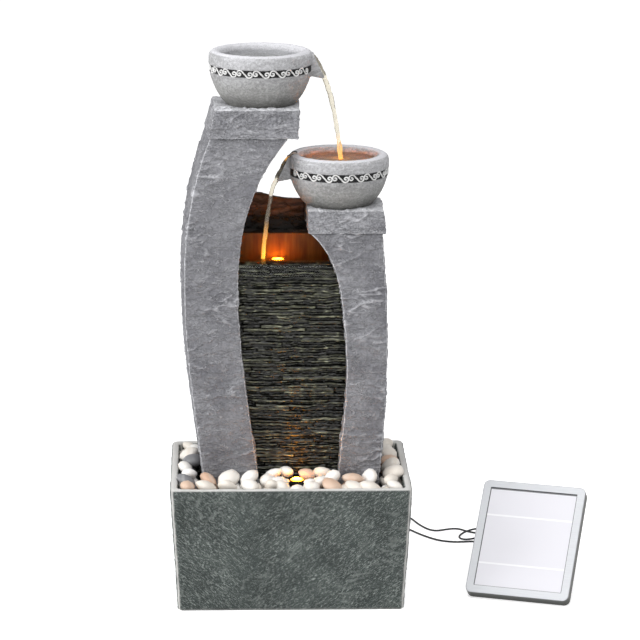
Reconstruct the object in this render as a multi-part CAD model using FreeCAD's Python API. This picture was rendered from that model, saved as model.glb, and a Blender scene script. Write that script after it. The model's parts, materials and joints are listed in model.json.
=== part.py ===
import FreeCAD
import Part
import math
import os

Vector = FreeCAD.Vector
Z_AXIS = Vector(0, 0, 1)
Y_AXIS = Vector(0, 1, 0)
X_AXIS = Vector(1, 0, 0)

# Fits, and how far a cutting tool runs past the face that it cuts
SEAT_GAP = 0.3
CUT_PAST = 1.0
RUNNING_GAP = 0.05
SLEEVE_GAP = 0.1

# Trough: a tapered cast tub
TROUGH_WIDTH = 345.0
TROUGH_DEPTH = 254.0
TROUGH_HEIGHT = 184.0
TROUGH_TAPER = 10.0
TROUGH_WALL = 10.0
TROUGH_FLOOR = 12.0
TROUGH_CORNER = 8.0
RIM_ROUND = 3.0

# Pillars: X at stations given as shares of the height from the trough floor to the cap
COLUMN_FRONT = -58.0
PILLAR_WALL = 9.0
PILLAR_ROOF = 26.0
LEFT_TOP = 678.0
LEFT_DEPTH = 116.0
LEFT_SPLAY = 6.0
LEFT_OUTER = [(0.0, -119.0), (0.26, -126.0), (0.5, -145.5), (0.7, -151.7), (0.84, -143.5), (1.0, -114.5)]
LEFT_INNER = [(0.0, -42.0), (0.26, -47.0), (0.5, -68.0), (0.7, -74.6), (0.84, -61.0), (0.94, -32.0),
              (1.0, -3.0)]
RIGHT_TOP = 542.0
RIGHT_DEPTH = 92.0
RIGHT_SPLAY = 2.0
RIGHT_OUTER = [(0.0, 122.0), (0.32, 128.0), (0.6, 138.0), (0.82, 136.0), (1.0, 129.5)]
RIGHT_INNER = [(0.0, 66.0), (0.32, 68.0), (0.62, 80.0), (0.8, 73.5), (0.92, 58.0), (1.0, 26.0)]

# Cap slabs
CAP_PROUD = 3.0
LEFT_CAP_HEIGHT = 40.5
LEFT_CAP_TOP = (-107.7, 12.3)
LEFT_CAP_FOOT = (-116.8, 10.5)
RIGHT_CAP_HEIGHT = 33.0
RIGHT_CAP_TOP = (24.0, 131.0)
RIGHT_CAP_FOOT = (24.5, 135.0)

# Bowls
TOP_BOWL_CENTRE = (-42.3, 6.0)
TOP_BOWL_RADIUS = 73.6
TOP_BOWL_HEIGHT = 76.0
LOWER_BOWL_CENTRE = (69.0, -4.0)
LOWER_BOWL_RADIUS = 71.6
LOWER_BOWL_HEIGHT = 73.0
BOWL_FOOT_INSET = 24.0
BOWL_RIM = 17.0
BOWL_FLOOR = 14.0
BAND_FROM_RIM = 19.0
BAND_HEIGHT = 11.0
BAND_DEPTH = 1.8
CHUTE_WIDTH = 22.0
CHUTE_CHANNEL = 12.0
CHUTE_REACH = 16.5
CHUTE_DROP = 38.0
CHUTE_NOTCH = 10.0
CHUTE_EDGE = 2.0

# Slate waterfall face, basin behind it and rear panel
SLATE_FRONT = -38.0
SLATE_THICK = 17.0
SLATE_RELIEF = 3.0
SLATE_TOP = 493.0
COURSE_HEIGHT = 7.0
BASIN_DEPTH = 42.0
BASIN_WALL = 4.0
BASIN_FLOOR_Z = 452.0
BASIN_BACK_TOP = 526.0
REAR_THICK = 8.0
REAR_TOP = 585.0
REAR_SAG = 9.0
REAR_NOTCH = 26.0

# Pump hatch in the rear panel
HATCH_X = 8.0
HATCH_WIDTH = 78.0
HATCH_LOW = 204.0
HATCH_HEIGHT = 84.0
HATCH_FLANGE = 6.0
HATCH_PLATE = 4.0
HATCH_KNOB = 9.0
HATCH_KNOB_HEAD = 6.5
HATCH_KNOB_DRAFT = 2.5

# Pebble tray and pebbles
TRAY_Z = 150.0
TRAY_THICK = 5.0
TRAY_GAP = 1.5
TRAY_LEG = 7.0
TRAY_LEG_DRAFT = 2.0
TRAY_SLOT = 5.0
TRAY_BAR = 17.5
TRAY_RIB = 11.0
PEBBLE_LENGTH = 27.0
PEBBLE_BREADTH = 26.0
PEBBLE_HEIGHT = 27.0
PEBBLE_GAP = 1.0
PEBBLE_VARY = 0.04

# Pump: axis along X at PUMP_AXIS
PUMP_AXIS = Vector(0.0, 0.5, 44.0)
PUMP_WIDTH = 38.0
PUMP_MOTOR = 34.0
PUMP_ROUND = 5.0
CHAMBER_RADIUS = 15.0
CHAMBER_DEPTH = 11.0
CHAMBER_WALL = 3.0
ROTOR_RADIUS = 6.0
ROTOR_LENGTH = 20.0
ROTOR_ROOM = 0.6
ROTOR_STAND = 1.0
HUB_RADIUS = 4.2
SHAFT_RADIUS = 1.2
BLADE_COUNT = 6
BLADE_RADIUS = 13.0
BLADE_WIDTH = 7.0
BLADE_THICK = 1.4
BLADE_PLATE = 1.2
COVER_DEPTH = 7.0
COVER_SLOT = 2.4
COVER_LIP = 2.0
DIAL_RADIUS = 9.0
DIAL_THICK = 2.5
DIAL_PIVOT = 2.0
DIAL_HEAD = 1.5
DIAL_TAB = 3.0
DIAL_RIM = 2.5
DIAL_WINDOW = 4.0
NOZZLE_RADIUS = 4.0
NOZZLE_BORE = 2.8
NOZZLE_TOP = 92.0
FOOT_HEIGHT = 7.0
FOOT_RADIUS = 6.0
FOOT_DRAFT = 3.3
FOOT_INSET = 1.0
SHAFT_SEAT = 6.0

# Riser tube and bowl inlet
TUBE_RADIUS = 5.6
INLET_FLANGE = 11.0
INLET_FLANGE_THICK = 4.0
INLET_LID = 1.5
INLET_SILL = 0.5
INLET_SLOT = 4.0
INLET_STEM = 6.5
INLET_BARB = 14.0

# Lamps
LAMP_RADIUS = 12.0
LAMP_LENS_RADIUS = 9.0
LAMP_RIM = 2.0
LAMP_CROWN = 3.0
LAMP_PORT = 4.0
BOWL_LAMP_HEIGHT = 18.0
BASIN_LAMP_HEIGHT = 28.0
PEBBLE_LAMP_HEIGHT = 29.0
BASIN_LAMP_XY = (-18.0, 0.0)
PEBBLE_LAMP_XY = (9.0, -76.0)

# Leads
LEAD = 3.0
LEAD_GAP = 0.5
FLOOR_GAP = 0.05
LEAD_PORT = 1.0
COIL_TAIL = 21.0
LEAD_SETBACK = 20.0
LEAD_WALL = 7.0
LEAD_CROSSING = 1.6
GLAND_RUN = 15.0
GLAND_DROP = 3.5
COIL_RADIUS = 17.0
LAMP_COIL_TURNS = 9
PUMP_COIL_TURNS = 7
LAMP_COIL_CENTRE = (80.0, 190.0)
PUMP_COIL_CENTRE = (80.0, 276.0)
TIE_WIDTH = 5.0
TIE_THICK = 1.0
GROMMET_RADIUS = 5.0
GROMMET_COLLAR = 8.0
GROMMET_COLLAR_THICK = 2.5
BOOT_ROOT = 4.0
BOOT_TIP = 2.2
BOOT_LENGTH = 12.0
GROMMET_Z = 136.0
LAMP_EXIT_X = 22.0
PUMP_EXIT_X = -22.0
SPLITTER_SIZE = Vector(26.0, 18.0, 14.0)
SPLITTER_ROUND = 2.0
SPLITTER_AT = (86.0, 84.0)

# Solar panel: local X along its width, Y up its face, Z out of its face
PANEL_WIDTH = 153.0
PANEL_LENGTH = 180.0
PANEL_THICK = 18.0
PANEL_CORNER = 9.0
PANEL_AT = (326.0, -96.0)
PANEL_YAW = 18.3
PANEL_LEAN = 41.0
BEZEL_THICK = 5.0
BEZEL_BORDER = 11.5
BEZEL_LIP = 1.5
BEZEL_REBATE = 3.0
CELL_THICK = 3.0
HOUSING_WALL = 2.5
BATTERY_SIZE = Vector(60.0, 40.0, 8.0)
BATTERY_AT = (-20.0, 96.0)
BOARD_SIZE = Vector(40.0, 26.0, 1.6)
BOARD_AT = (38.0, 70.0)
BUTTON_AT = (46.0, 40.0)
BUTTON_RADIUS = 5.0
BUTTON_PROUD = 3.0
BUTTON_FLANGE = 1.0
BUTTON_LEDGE = 1.5
STAND_PIVOT = 128.0
STAND_WIDTH = 44.0
STAND_THICK = 4.0
STAND_BARREL = 5.0
STAND_PIN = 2.0
STAND_OFFSET = 7.0
STAND_TILT = 12.0
STAND_BORDER = 9.0
EAR_WIDTH = 5.0
GLAND_RADIUS = 4.5
GLAND_LENGTH = 14.0
LAMP_GLAND = (-56.0, 44.0)
PUMP_GLAND = (-40.0, 44.0)
SCREW_HEAD = 3.2
SCREW_HEAD_DEPTH = 1.4
SCREW_SHANK = 1.4
SCREW_INSET = 4.6
SCREW_HEIGHTS = (40.0, 140.0)

# Places that follow from the sizes above
LEFT_CAP_Z = LEFT_TOP + LEFT_CAP_HEIGHT
RIGHT_CAP_Z = RIGHT_TOP + RIGHT_CAP_HEIGHT
SLATE_BACK = SLATE_FRONT + SLATE_THICK
BASIN_FRONT = SLATE_BACK + SEAT_GAP
REAR_FRONT = BASIN_FRONT + BASIN_DEPTH + SEAT_GAP
REAR_BACK = REAR_FRONT + REAR_THICK
TRAY_TOP = TRAY_Z + TRAY_THICK
LEAD_RADIUS = LEAD / 2
FLOOR_LIE = LEAD_RADIUS + FLOOR_GAP
COIL_PITCH = LEAD + LEAD_GAP
TUBE_BORE = NOZZLE_RADIUS + SLEEVE_GAP
CHAMBER_X = PUMP_AXIS.x - CHAMBER_DEPTH / 2
MOTOR_X = PUMP_AXIS.x + CHAMBER_DEPTH / 2
COVER_X = CHAMBER_X - COVER_DEPTH
SHAFT_START = CHAMBER_X - COVER_DEPTH / 2
SHAFT_END = MOTOR_X + ROTOR_LENGTH + SHAFT_SEAT


def save(name, shape):
    """Write one named piece."""
    shape.exportStep("parts/" + name + ".step")
    print(name, len(shape.Solids), round(shape.Volume), shape.isValid())


def block(x0, x1, y0, y1, z0, z1):
    """Box between two corners."""
    return Part.makeBox(x1 - x0, y1 - y0, z1 - z0, Vector(x0, y0, z0))


def rod(start, radius, length, axis=Z_AXIS):
    """Cylinder from a start point along an axis."""
    return Part.makeCylinder(radius, length, start, axis)


def polygon(points):
    """Closed wire of straight edges."""
    return Part.makePolygon(points + points[:1])


def prism(points, sweep):
    """Polygon extruded by a vector."""
    return Part.Face(polygon(points)).extrude(sweep)


def rounded_rectangle(width, depth, corner, z):
    """Level wire with round corners, centred on the Z axis."""
    a = width / 2
    b = depth / 2
    edges = []
    for turn in range(4):
        half, away = (a, b) if turn % 2 == 0 else (b, a)
        centre = Vector(half - corner, corner - away, z)
        start = Vector(corner - half, -away, z)
        bend = [centre + Vector(0, -corner, 0), centre + Vector(corner, -corner, 0) * math.sqrt(0.5),
                centre + Vector(corner, 0, 0)]
        quarter = FreeCAD.Rotation(Z_AXIS, 90 * turn)
        edges.append(Part.LineSegment(quarter.multVec(start), quarter.multVec(bend[0])).toShape())
        edges.append(Part.Arc(*[quarter.multVec(point) for point in bend]).toShape())
    return Part.Wire(edges)


def tangent_arc(start, tangent, end):
    """Arc from start to end that leaves start along a tangent."""
    chord = end - start
    along = Vector(chord).normalize()
    side = tangent - along * tangent.dot(along)
    half = math.atan2(side.Length, tangent.dot(along))
    if side.Length < 1e-6:
        return Part.LineSegment(start, end).toShape()
    middle = (start + end) * 0.5 + side.normalize() * (chord.Length / 2 * math.tan(half / 2))
    return Part.Arc(start, middle, end).toShape()


def route_edges(points, label=None):
    """Straight runs joined by the largest tangent arcs that their runs allow."""
    edges = []
    radii = []
    here = points[0]
    for before, corner, after in zip(points, points[1:], points[2:]):
        back = (before - corner)
        ahead = (after - corner)
        reach = 0.45 * min(back.Length, ahead.Length)
        turn = math.pi - back.getAngle(ahead)
        radii.append(reach / math.tan(turn / 2))
        enter = corner + back.normalize() * reach
        leave = corner + ahead.normalize() * reach
        edges.append(Part.LineSegment(here, enter).toShape())
        edges.append(tangent_arc(enter, (corner - enter).normalize(), leave))
        here = leave
    edges.append(Part.LineSegment(here, points[-1]).toShape())
    if label:
        length = sum(edge.Length for edge in edges)
        print(label, "length", round(length), "least radius", round(min(radii), 1))
    return edges


def pipe(edges, radius):
    """Round solid along a chain of tangent edges."""
    path = Part.Wire(edges)
    start = edges[0].Vertexes[0].Point
    heading = edges[0].tangentAt(edges[0].FirstParameter)
    ring = Part.Wire(Part.makeCircle(radius, start, heading))
    return path.makePipeShell([ring], True, False)


def lead(points, label):
    """A lead along its route, with its volume set against section times length."""
    edges = route_edges(points, label)
    solid = pipe(edges, LEAD_RADIUS)
    length = sum(edge.Length for edge in edges)
    print(label, "volume share", round(solid.Volume / (length * math.pi * LEAD_RADIUS ** 2), 4))
    return solid


def coil_point(centre, turns, angle):
    """Place and heading on a coil that spirals in on the floor and out again one layer up."""
    layer = (turns - 0.5) / 2 * 2 * math.pi
    climb = math.pi
    widest = COIL_RADIUS + COIL_PITCH * (turns - 0.5) / 4
    slope = COIL_PITCH / (2 * math.pi)
    reversal = layer + climb / 2
    radius = widest - slope * (reversal - abs(angle - reversal))
    growth = slope * math.copysign(min(1, abs(angle - reversal)), angle - reversal)
    share = min(max((angle - layer) / climb, 0), 1)
    height = FLOOR_LIE + COIL_PITCH * share * share * (3 - 2 * share)
    rise = COIL_PITCH * 6 * share * (1 - share) / climb
    turn = math.pi / 2 - angle
    out = Vector(math.cos(turn), math.sin(turn), 0)
    forward = Vector(math.sin(turn), -math.cos(turn), 0)
    place = Vector(centre[0], centre[1], height) + out * radius
    heading = (forward * radius + out * growth + Z_AXIS * rise).normalize()
    return place, heading


def biarc(start, leaving, end, arriving):
    """Two tangent arcs from one place and heading to another."""
    span = end - start
    both = leaving + arriving
    spread = 2 * (1 - leaving.dot(arriving))
    root = math.sqrt(span.dot(both) ** 2 + spread * span.dot(span))
    reach = (root - span.dot(both)) / spread
    joint = (start + leaving * reach + end - arriving * reach) * 0.5
    second = tangent_arc(end, arriving * -1, joint)
    return [tangent_arc(start, leaving, joint), second]


def coil_edges(centre, turns):
    """Biarcs of a quarter turn along the whole coil, with straight ends of one diameter."""
    steps = turns * 4
    stations = [coil_point(centre, turns, math.pi / 2 * step) for step in range(steps + 1)]
    edges = []
    for (start, leaving), (end, arriving) in zip(stations, stations[1:]):
        edges.extend(biarc(start, leaving, end, arriving))
    first, heading = stations[0]
    last, way_out = stations[-1]
    tail = Part.LineSegment(first - heading * LEAD, first).toShape()
    head = Part.LineSegment(last, last + way_out * LEAD).toShape()
    return [tail] + edges + [head]


def coil(centre, turns, label):
    """One unbroken tube with its loops, and the least gap between its turns."""
    edges = coil_edges(centre, turns)
    solid = pipe([Part.Edge(edge) for edge in Part.sortEdges(edges)[0]], LEAD_RADIUS)
    places = [coil_point(centre, turns, math.pi / 18 * step)[0] for step in range(turns * 36 + 1)]
    least = min((a - b).Length for i, a in enumerate(places) for b in places[i + 20:]) - LEAD
    length = sum(edge.Length for edge in edges)
    print(label, "length", round(length), "least gap", round(least, 2))
    return solid


def coil_ends(centre, turns, reach):
    """Each end of a coil's straight tails, with the next route point beyond it."""
    first, heading = coil_point(centre, turns, 0)
    last, way_out = coil_point(centre, turns, 2 * math.pi * turns)
    enter = first - heading * LEAD
    leave = last + way_out * LEAD
    return [enter - heading * reach, enter], [leave, leave + way_out * reach]


def coil_tie(centre, turns):
    """Flat strap round the bundle of turns, on the side away from the tails."""
    widest = COIL_RADIUS + COIL_PITCH * (turns - 0.5) / 4 + LEAD_RADIUS + LEAD_GAP
    narrowest = 2 * COIL_RADIUS - widest - COIL_PITCH
    low = FLOOR_GAP
    high = FLOOR_LIE + COIL_PITCH + LEAD_RADIUS + LEAD_GAP
    outer = block(-TIE_WIDTH / 2, TIE_WIDTH / 2, -widest - TIE_THICK, TIE_THICK - narrowest,
                  low, high + TIE_THICK)
    inner = block(-TIE_WIDTH, TIE_WIDTH, -widest, -narrowest, -TIE_THICK, high)
    strap = outer.cut(inner)
    strap.translate(Vector(centre[0], centre[1], 0))
    return strap


def trough_shell():
    """Tapered tub with round corners and a rounded rim, drilled for the two lead grommets."""
    def outline(inset, z):
        draw = TROUGH_TAPER * (1 - z / TROUGH_HEIGHT)
        width = TROUGH_WIDTH - 2 * (inset + draw)
        depth = TROUGH_DEPTH - 2 * (inset + draw)
        return rounded_rectangle(width, depth, TROUGH_CORNER, z)
    outside = Part.makeLoft([outline(0, 0), outline(0, TROUGH_HEIGHT)], True, True)
    room = [outline(TROUGH_WALL, TROUGH_FLOOR), outline(TROUGH_WALL, TROUGH_HEIGHT)]
    tub = outside.cut(Part.makeLoft(room, True, True))
    rim = [edge for edge in tub.Edges if edge.BoundBox.ZMin > TROUGH_HEIGHT - 0.01]
    tub = tub.makeFillet(RIM_ROUND, rim)
    for x in (LAMP_EXIT_X, PUMP_EXIT_X):
        start = wall_point(x) - wall_normal() * (2 * TROUGH_WALL)
        tub = tub.cut(rod(start, GROMMET_RADIUS, 3 * TROUGH_WALL, wall_normal()))
    return tub


def station_points(stations, top, shift, y):
    """Points of a pillar edge, from shares of its height to places."""
    rise = top - TROUGH_FLOOR
    return [Vector(x + shift, y, TROUGH_FLOOR + share * rise) for share, x in stations]


def smooth(points):
    """Smooth edge through points."""
    curve = Part.BSplineCurve()
    curve.interpolate(points)
    return curve.toShape()


def pillar_wire(outer, inner, top, y, outer_shift, inner_shift):
    """Closed outline of a pillar in one upright plane."""
    left = station_points(outer, top, outer_shift, y)
    right = station_points(inner, top, inner_shift, y)
    foot = Part.LineSegment(left[0], right[0]).toShape()
    head = Part.LineSegment(right[-1], left[-1]).toShape()
    return Part.Wire(Part.sortEdges([foot, smooth(right), head, smooth(left)])[0])


def pillar(outer, inner, top, depth, splay):
    """Hollow swept pillar whose outer side splays towards the back."""
    side = 1 if outer[0][1] > inner[0][1] else -1
    back = COLUMN_FRONT + depth
    front_wire = pillar_wire(outer, inner, top, COLUMN_FRONT, 0, 0)
    back_wire = pillar_wire(outer, inner, top, back, side * splay, 0)
    body = Part.makeLoft([front_wire, back_wire], True, True)
    wall = side * PILLAR_WALL
    front_room = pillar_wire(outer, inner, top, COLUMN_FRONT + PILLAR_WALL, -wall, wall)
    back_room = pillar_wire(outer, inner, top, back - PILLAR_WALL, -wall, wall)
    room = Part.makeLoft([front_room, back_room], True, True)
    below_roof = block(-TROUGH_WIDTH, TROUGH_WIDTH, COLUMN_FRONT, back, 0, top - PILLAR_ROOF)
    return body.cut(room.common(below_roof))


def keep_out(stations, top, gap, y0, y1):
    """Space on the pillar's side of its inner edge, widened by a gap."""
    side = 1 if stations[0][1] > 0 else -1
    points = station_points(stations, top, -side * gap, y0)
    far = side * TROUGH_WIDTH
    corners = [points[-1], Vector(far, y0, points[-1].z), Vector(far, y0, points[0].z), points[0]]
    edges = [smooth(points)]
    for a, b in zip(corners, corners[1:]):
        edges.append(Part.LineSegment(a, b).toShape())
    return Part.Face(Part.Wire(Part.sortEdges(edges)[0])).extrude(Vector(0, y1 - y0, 0))


def between_pillars(gap, y0, y1, z0, z1):
    """Block that fills the space between the pillars, cut to their inner edges."""
    fill = block(LEFT_OUTER[0][1], RIGHT_OUTER[0][1], y0, y1, z0, z1)
    cap_side = min(RIGHT_CAP_TOP[0], RIGHT_CAP_FOOT[0]) - RIGHT_SPLAY - gap
    over_right = block(cap_side, TROUGH_WIDTH, y0, y1, RIGHT_TOP - gap, RIGHT_CAP_Z + REAR_TOP)
    fill = fill.cut(keep_out(LEFT_INNER, LEFT_TOP, gap, y0, y1))
    return fill.cut(keep_out(RIGHT_INNER, RIGHT_TOP, gap, y0, y1)).cut(over_right)


def cap(top_pair, foot_pair, low, high, depth, splay):
    """Slab with slanted ends, proud of its pillar in front."""
    front = COLUMN_FRONT - CAP_PROUD
    back = COLUMN_FRONT + depth
    def outline(y, spread):
        corners = [(foot_pair[0] - spread, low), (foot_pair[1], low), (top_pair[1], high),
                   (top_pair[0] - spread / 2, high)]
        return polygon([Vector(x, y, z) for x, z in corners])
    return Part.makeLoft([outline(front, 0), outline(back, splay)], True, True)


def bowl_profile(radius, height):
    """Half section of a bowl: swelling side, fat rounded rim and dished inside."""
    foot = radius - BOWL_FOOT_INSET
    inner = radius - BOWL_RIM
    shoulder = height - BAND_FROM_RIM
    crown = BOWL_RIM / 2
    def at(r, z):
        return Vector(r, 0, z)
    edges = [
        Part.LineSegment(at(0, 0), at(foot, 0)),
        Part.Arc(at(foot, 0), at(radius - BOWL_FOOT_INSET / 3, shoulder * 0.43), at(radius, shoulder)),
        Part.LineSegment(at(radius, shoulder), at(radius, height - crown)),
        Part.Arc(at(radius, height - crown), at(radius - crown, height), at(inner, height - crown)),
        Part.Arc(at(inner, height - crown), at(inner - crown / 2, height / 2), at(foot - crown, BOWL_FLOOR)),
        Part.LineSegment(at(foot - crown, BOWL_FLOOR), at(0, BOWL_FLOOR)),
        Part.LineSegment(at(0, BOWL_FLOOR), at(0, 0)),
    ]
    return Part.Face(Part.Wire([edge.toShape() for edge in edges]))


def bowl(centre, base, radius, height, heading, port):
    """Bowl with a recessed band, a steep pouring chute and a port through its floor."""
    solid = bowl_profile(radius, height).revolve(Vector(0, 0, 0), Z_AXIS, 360)
    band_top = height - BAND_FROM_RIM
    outer = rod(Vector(0, 0, band_top - BAND_HEIGHT), radius + BAND_DEPTH, BAND_HEIGHT)
    core = rod(Vector(0, 0, band_top - BAND_HEIGHT), radius - BAND_DEPTH, BAND_HEIGHT)
    solid = solid.cut(outer.cut(core))
    half = CHUTE_WIDTH / 2
    inside = radius - BOWL_RIM / 2
    tip = radius + CHUTE_REACH
    shoulder = height - CHUTE_NOTCH / 2
    low = height - CHUTE_DROP
    side = [(inside, shoulder), (radius + CHUTE_EDGE / 2, shoulder), (tip, low),
            (tip - CHUTE_EDGE, low - CHUTE_EDGE), (inside, low + CHUTE_EDGE)]
    wedge = prism([Vector(r, -half, z) for r, z in side], Vector(0, CHUTE_WIDTH, 0))
    half = CHUTE_CHANNEL / 2
    deep = low - 2 * CHUTE_EDGE
    past = tip + 4 * CHUTE_EDGE
    floor = [(radius - 2 * BOWL_RIM, height - CHUTE_NOTCH), (radius - CHUTE_EDGE / 2, height - CHUTE_NOTCH),
             (tip - 2 * CHUTE_EDGE, deep), (past, deep), (past, height + CUT_PAST),
             (radius - 2 * BOWL_RIM, height + CUT_PAST)]
    channel = prism([Vector(r, -half, z) for r, z in floor], Vector(0, CHUTE_CHANNEL, 0))
    solid = solid.fuse(wedge).cut(channel).removeSplitter()
    solid = solid.cut(rod(Vector(0, 0, -CUT_PAST), port, BOWL_FLOOR + 2 * CUT_PAST))
    solid.rotate(Vector(0, 0, 0), Z_AXIS, heading)
    solid.translate(Vector(centre[0], centre[1], base))
    return solid


def slate():
    """Waterfall face of thin stone courses that step in and out."""
    start = TROUGH_HEIGHT
    count = int((SLATE_TOP - start) / COURSE_HEIGHT)
    pitch = (SLATE_TOP - start) / count
    outline = [Vector(0, SLATE_BACK, SLATE_TOP), Vector(0, SLATE_BACK, TROUGH_FLOOR),
               Vector(0, SLATE_FRONT, TROUGH_FLOOR), Vector(0, SLATE_FRONT, start)]
    for course in range(count):
        step = SLATE_RELIEF * (0.5 + 0.5 * math.sin(course * 2.4))
        lean = 0.4 * SLATE_RELIEF
        low = start + pitch * (course + 0.25 * math.sin(course * 1.7))
        high = start + pitch * (course + 1 + 0.25 * math.sin((course + 1) * 1.7))
        if course == count - 1:
            high = SLATE_TOP
        outline.append(Vector(0, SLATE_FRONT + step, max(low, start + 0.01)))
        outline.append(Vector(0, SLATE_FRONT + step - lean, high))
    stack = prism(outline, Vector(TROUGH_WIDTH, 0, 0))
    stack.translate(Vector(-TROUGH_WIDTH / 2, 0, 0))
    fill = between_pillars(SEAT_GAP, COLUMN_FRONT, SLATE_BACK + 1, TROUGH_FLOOR, SLATE_TOP)
    return fill.common(stack)


def basin():
    """Tub behind the slate's top edge, with a high back and a low front lip."""
    back = BASIN_FRONT + BASIN_DEPTH
    tub = between_pillars(SEAT_GAP, BASIN_FRONT, back, BASIN_FLOOR_Z, BASIN_BACK_TOP)
    room = between_pillars(SEAT_GAP + BASIN_WALL, BASIN_FRONT + BASIN_WALL, back - BASIN_WALL,
                           BASIN_FLOOR_Z + BASIN_WALL, BASIN_BACK_TOP + 1)
    lip = block(-TROUGH_WIDTH, TROUGH_WIDTH, BASIN_FRONT, back - BASIN_WALL, SLATE_TOP, BASIN_BACK_TOP + 1)
    x, y = BASIN_LAMP_XY
    port = rod(Vector(x, y, BASIN_FLOOR_Z - 1), LEAD_RADIUS + SLEEVE_GAP, BASIN_WALL + 2)
    return tub.cut(room).cut(lip).cut(port)


def rear_panel():
    """Rear wall between the pillars, with a sagging top edge, the hatch opening and a lead notch."""
    wall = between_pillars(SEAT_GAP, REAR_FRONT, REAR_BACK, TROUGH_FLOOR, REAR_TOP)
    half = (RIGHT_INNER[0][1] - LEFT_INNER[0][1]) / 2
    middle = (RIGHT_INNER[0][1] + LEFT_INNER[0][1]) / 2
    sag_radius = (half * half + REAR_SAG * REAR_SAG) / (2 * REAR_SAG)
    front = REAR_FRONT - CUT_PAST
    back = REAR_BACK + CUT_PAST
    dip = rod(Vector(middle, front, REAR_TOP - REAR_SAG + sag_radius), sag_radius, back - front, Y_AXIS)
    opening = hatch_block(0, front, back)
    notch_x = RIGHT_INNER[0][1]
    notch = block(notch_x - REAR_NOTCH, notch_x - BASIN_WALL, front, back, 0, TROUGH_FLOOR + REAR_NOTCH)
    return wall.cut(dip).cut(opening).cut(notch)


def hatch_block(grow, y0, y1):
    """Block of the hatch opening, grown on all sides."""
    half = HATCH_WIDTH / 2 + grow
    return block(HATCH_X - half, HATCH_X + half, y0, y1, HATCH_LOW - grow, HATCH_LOW + HATCH_HEIGHT + grow)


def hatch():
    """Plug that fills the opening, with a flange and a turned knob on its back."""
    plug = hatch_block(-2 * SEAT_GAP, REAR_FRONT, REAR_BACK + SEAT_GAP)
    hollow = hatch_block(-2 * SEAT_GAP - HATCH_PLATE, REAR_FRONT - CUT_PAST, REAR_BACK - SEAT_GAP)
    flange = hatch_block(HATCH_FLANGE, REAR_BACK + SEAT_GAP, REAR_BACK + SEAT_GAP + HATCH_PLATE)
    knob_y = REAR_BACK + SEAT_GAP + HATCH_PLATE
    middle = Vector(HATCH_X, knob_y, HATCH_LOW + HATCH_HEIGHT / 2)
    stem = rod(middle, HATCH_KNOB / 2, HATCH_KNOB, Y_AXIS)
    head_from = middle + Y_AXIS * (HATCH_KNOB - HATCH_KNOB_HEAD / 2)
    head = Part.makeCone(HATCH_KNOB - HATCH_KNOB_DRAFT, HATCH_KNOB, HATCH_KNOB_HEAD, head_from, Y_AXIS)
    return plug.cut(hollow).fuse([flange, stem, head]).removeSplitter()


def inside_half(z):
    """Half width and half depth of the trough's inside at a height."""
    draw = TROUGH_WALL + TROUGH_TAPER * (1 - z / TROUGH_HEIGHT)
    return TROUGH_WIDTH / 2 - draw, TROUGH_DEPTH / 2 - draw


def column_room(gap, z0, z1):
    """Footprint of the pillars and the walls between them, with a gap all round."""
    left = min(x for share, x in LEFT_OUTER[:2]) - LEFT_SPLAY - gap
    right = max(x for share, x in RIGHT_OUTER[:2]) + RIGHT_SPLAY + gap
    left_in = max(x for share, x in LEFT_INNER[:2]) + gap
    right_in = min(x for share, x in RIGHT_INNER[:2]) - gap
    front = COLUMN_FRONT - gap
    rooms = [block(left, left_in, front, COLUMN_FRONT + LEFT_DEPTH + gap, z0, z1),
             block(right_in, right, front, COLUMN_FRONT + RIGHT_DEPTH + gap, z0, z1),
             block(left_in - 1, right_in + 1, SLATE_FRONT - gap, REAR_BACK + gap, z0, z1)]
    return rooms[0].fuse(rooms[1:])


def tray():
    """Slotted shelf on legs that carries the pebbles above the water."""
    half_x, half_y = inside_half(TRAY_Z)
    half_x -= TRAY_GAP
    half_y -= TRAY_GAP
    low = TRAY_Z - CUT_PAST
    high = TRAY_TOP + CUT_PAST
    sheet = Part.Face(rounded_rectangle(2 * half_x, 2 * half_y, TROUGH_CORNER, TRAY_Z))
    shelf = sheet.extrude(Z_AXIS * TRAY_THICK).cut(column_room(TRAY_GAP, low, high))
    slots = []
    rear = COLUMN_FRONT + LEFT_DEPTH
    pitch = TRAY_SLOT + TRAY_BAR
    count = int((half_x - TRAY_RIB) / pitch)
    for y0, y1 in ((-half_y, COLUMN_FRONT), (rear, half_y)):
        for place in range(-count, count + 1):
            x = place * pitch
            slots.append(block(x - TRAY_SLOT / 2, x + TRAY_SLOT / 2, y0 + TRAY_RIB, y1 - TRAY_RIB, low, high))
    shelf = shelf.cut(slots)
    foot_x, foot_y = inside_half(TROUGH_FLOOR)
    leg_x = foot_x - TRAY_LEG - TRAY_GAP
    leg_y = foot_y - TRAY_LEG - TRAY_GAP
    legs = []
    for x in (-leg_x, leg_x):
        for y in (-leg_y, leg_y):
            foot = Vector(x, y, TROUGH_FLOOR)
            legs.append(Part.makeCone(TRAY_LEG - TRAY_LEG_DRAFT, TRAY_LEG, TRAY_Z - TROUGH_FLOOR, foot))
    port = rod(Vector(*PEBBLE_LAMP_XY, low), LEAD_RADIUS + SLEEVE_GAP, high - low)
    return shelf.fuse(legs).removeSplitter().cut(port)


def pebble(place, size, spin):
    """Water-worn stone: flat facets lofted through seven-sided rings."""
    rings = []
    for level, width in ((0.0, 0.5), (0.2, 0.88), (0.5, 1.0), (0.8, 0.8), (1.0, 0.4)):
        corners = []
        for corner in range(7):
            angle = 2 * math.pi * corner / 7 + spin
            wobble = 0.95 + 0.05 * math.sin(3 * angle + 5 * spin)
            x = math.cos(angle) * size.x / 2 * width * wobble
            y = math.sin(angle) * size.y / 2 * width * wobble
            corners.append(place + Vector(x, y, size.z * level))
        rings.append(polygon(corners))
    return Part.makeLoft(rings, True, True)


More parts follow.
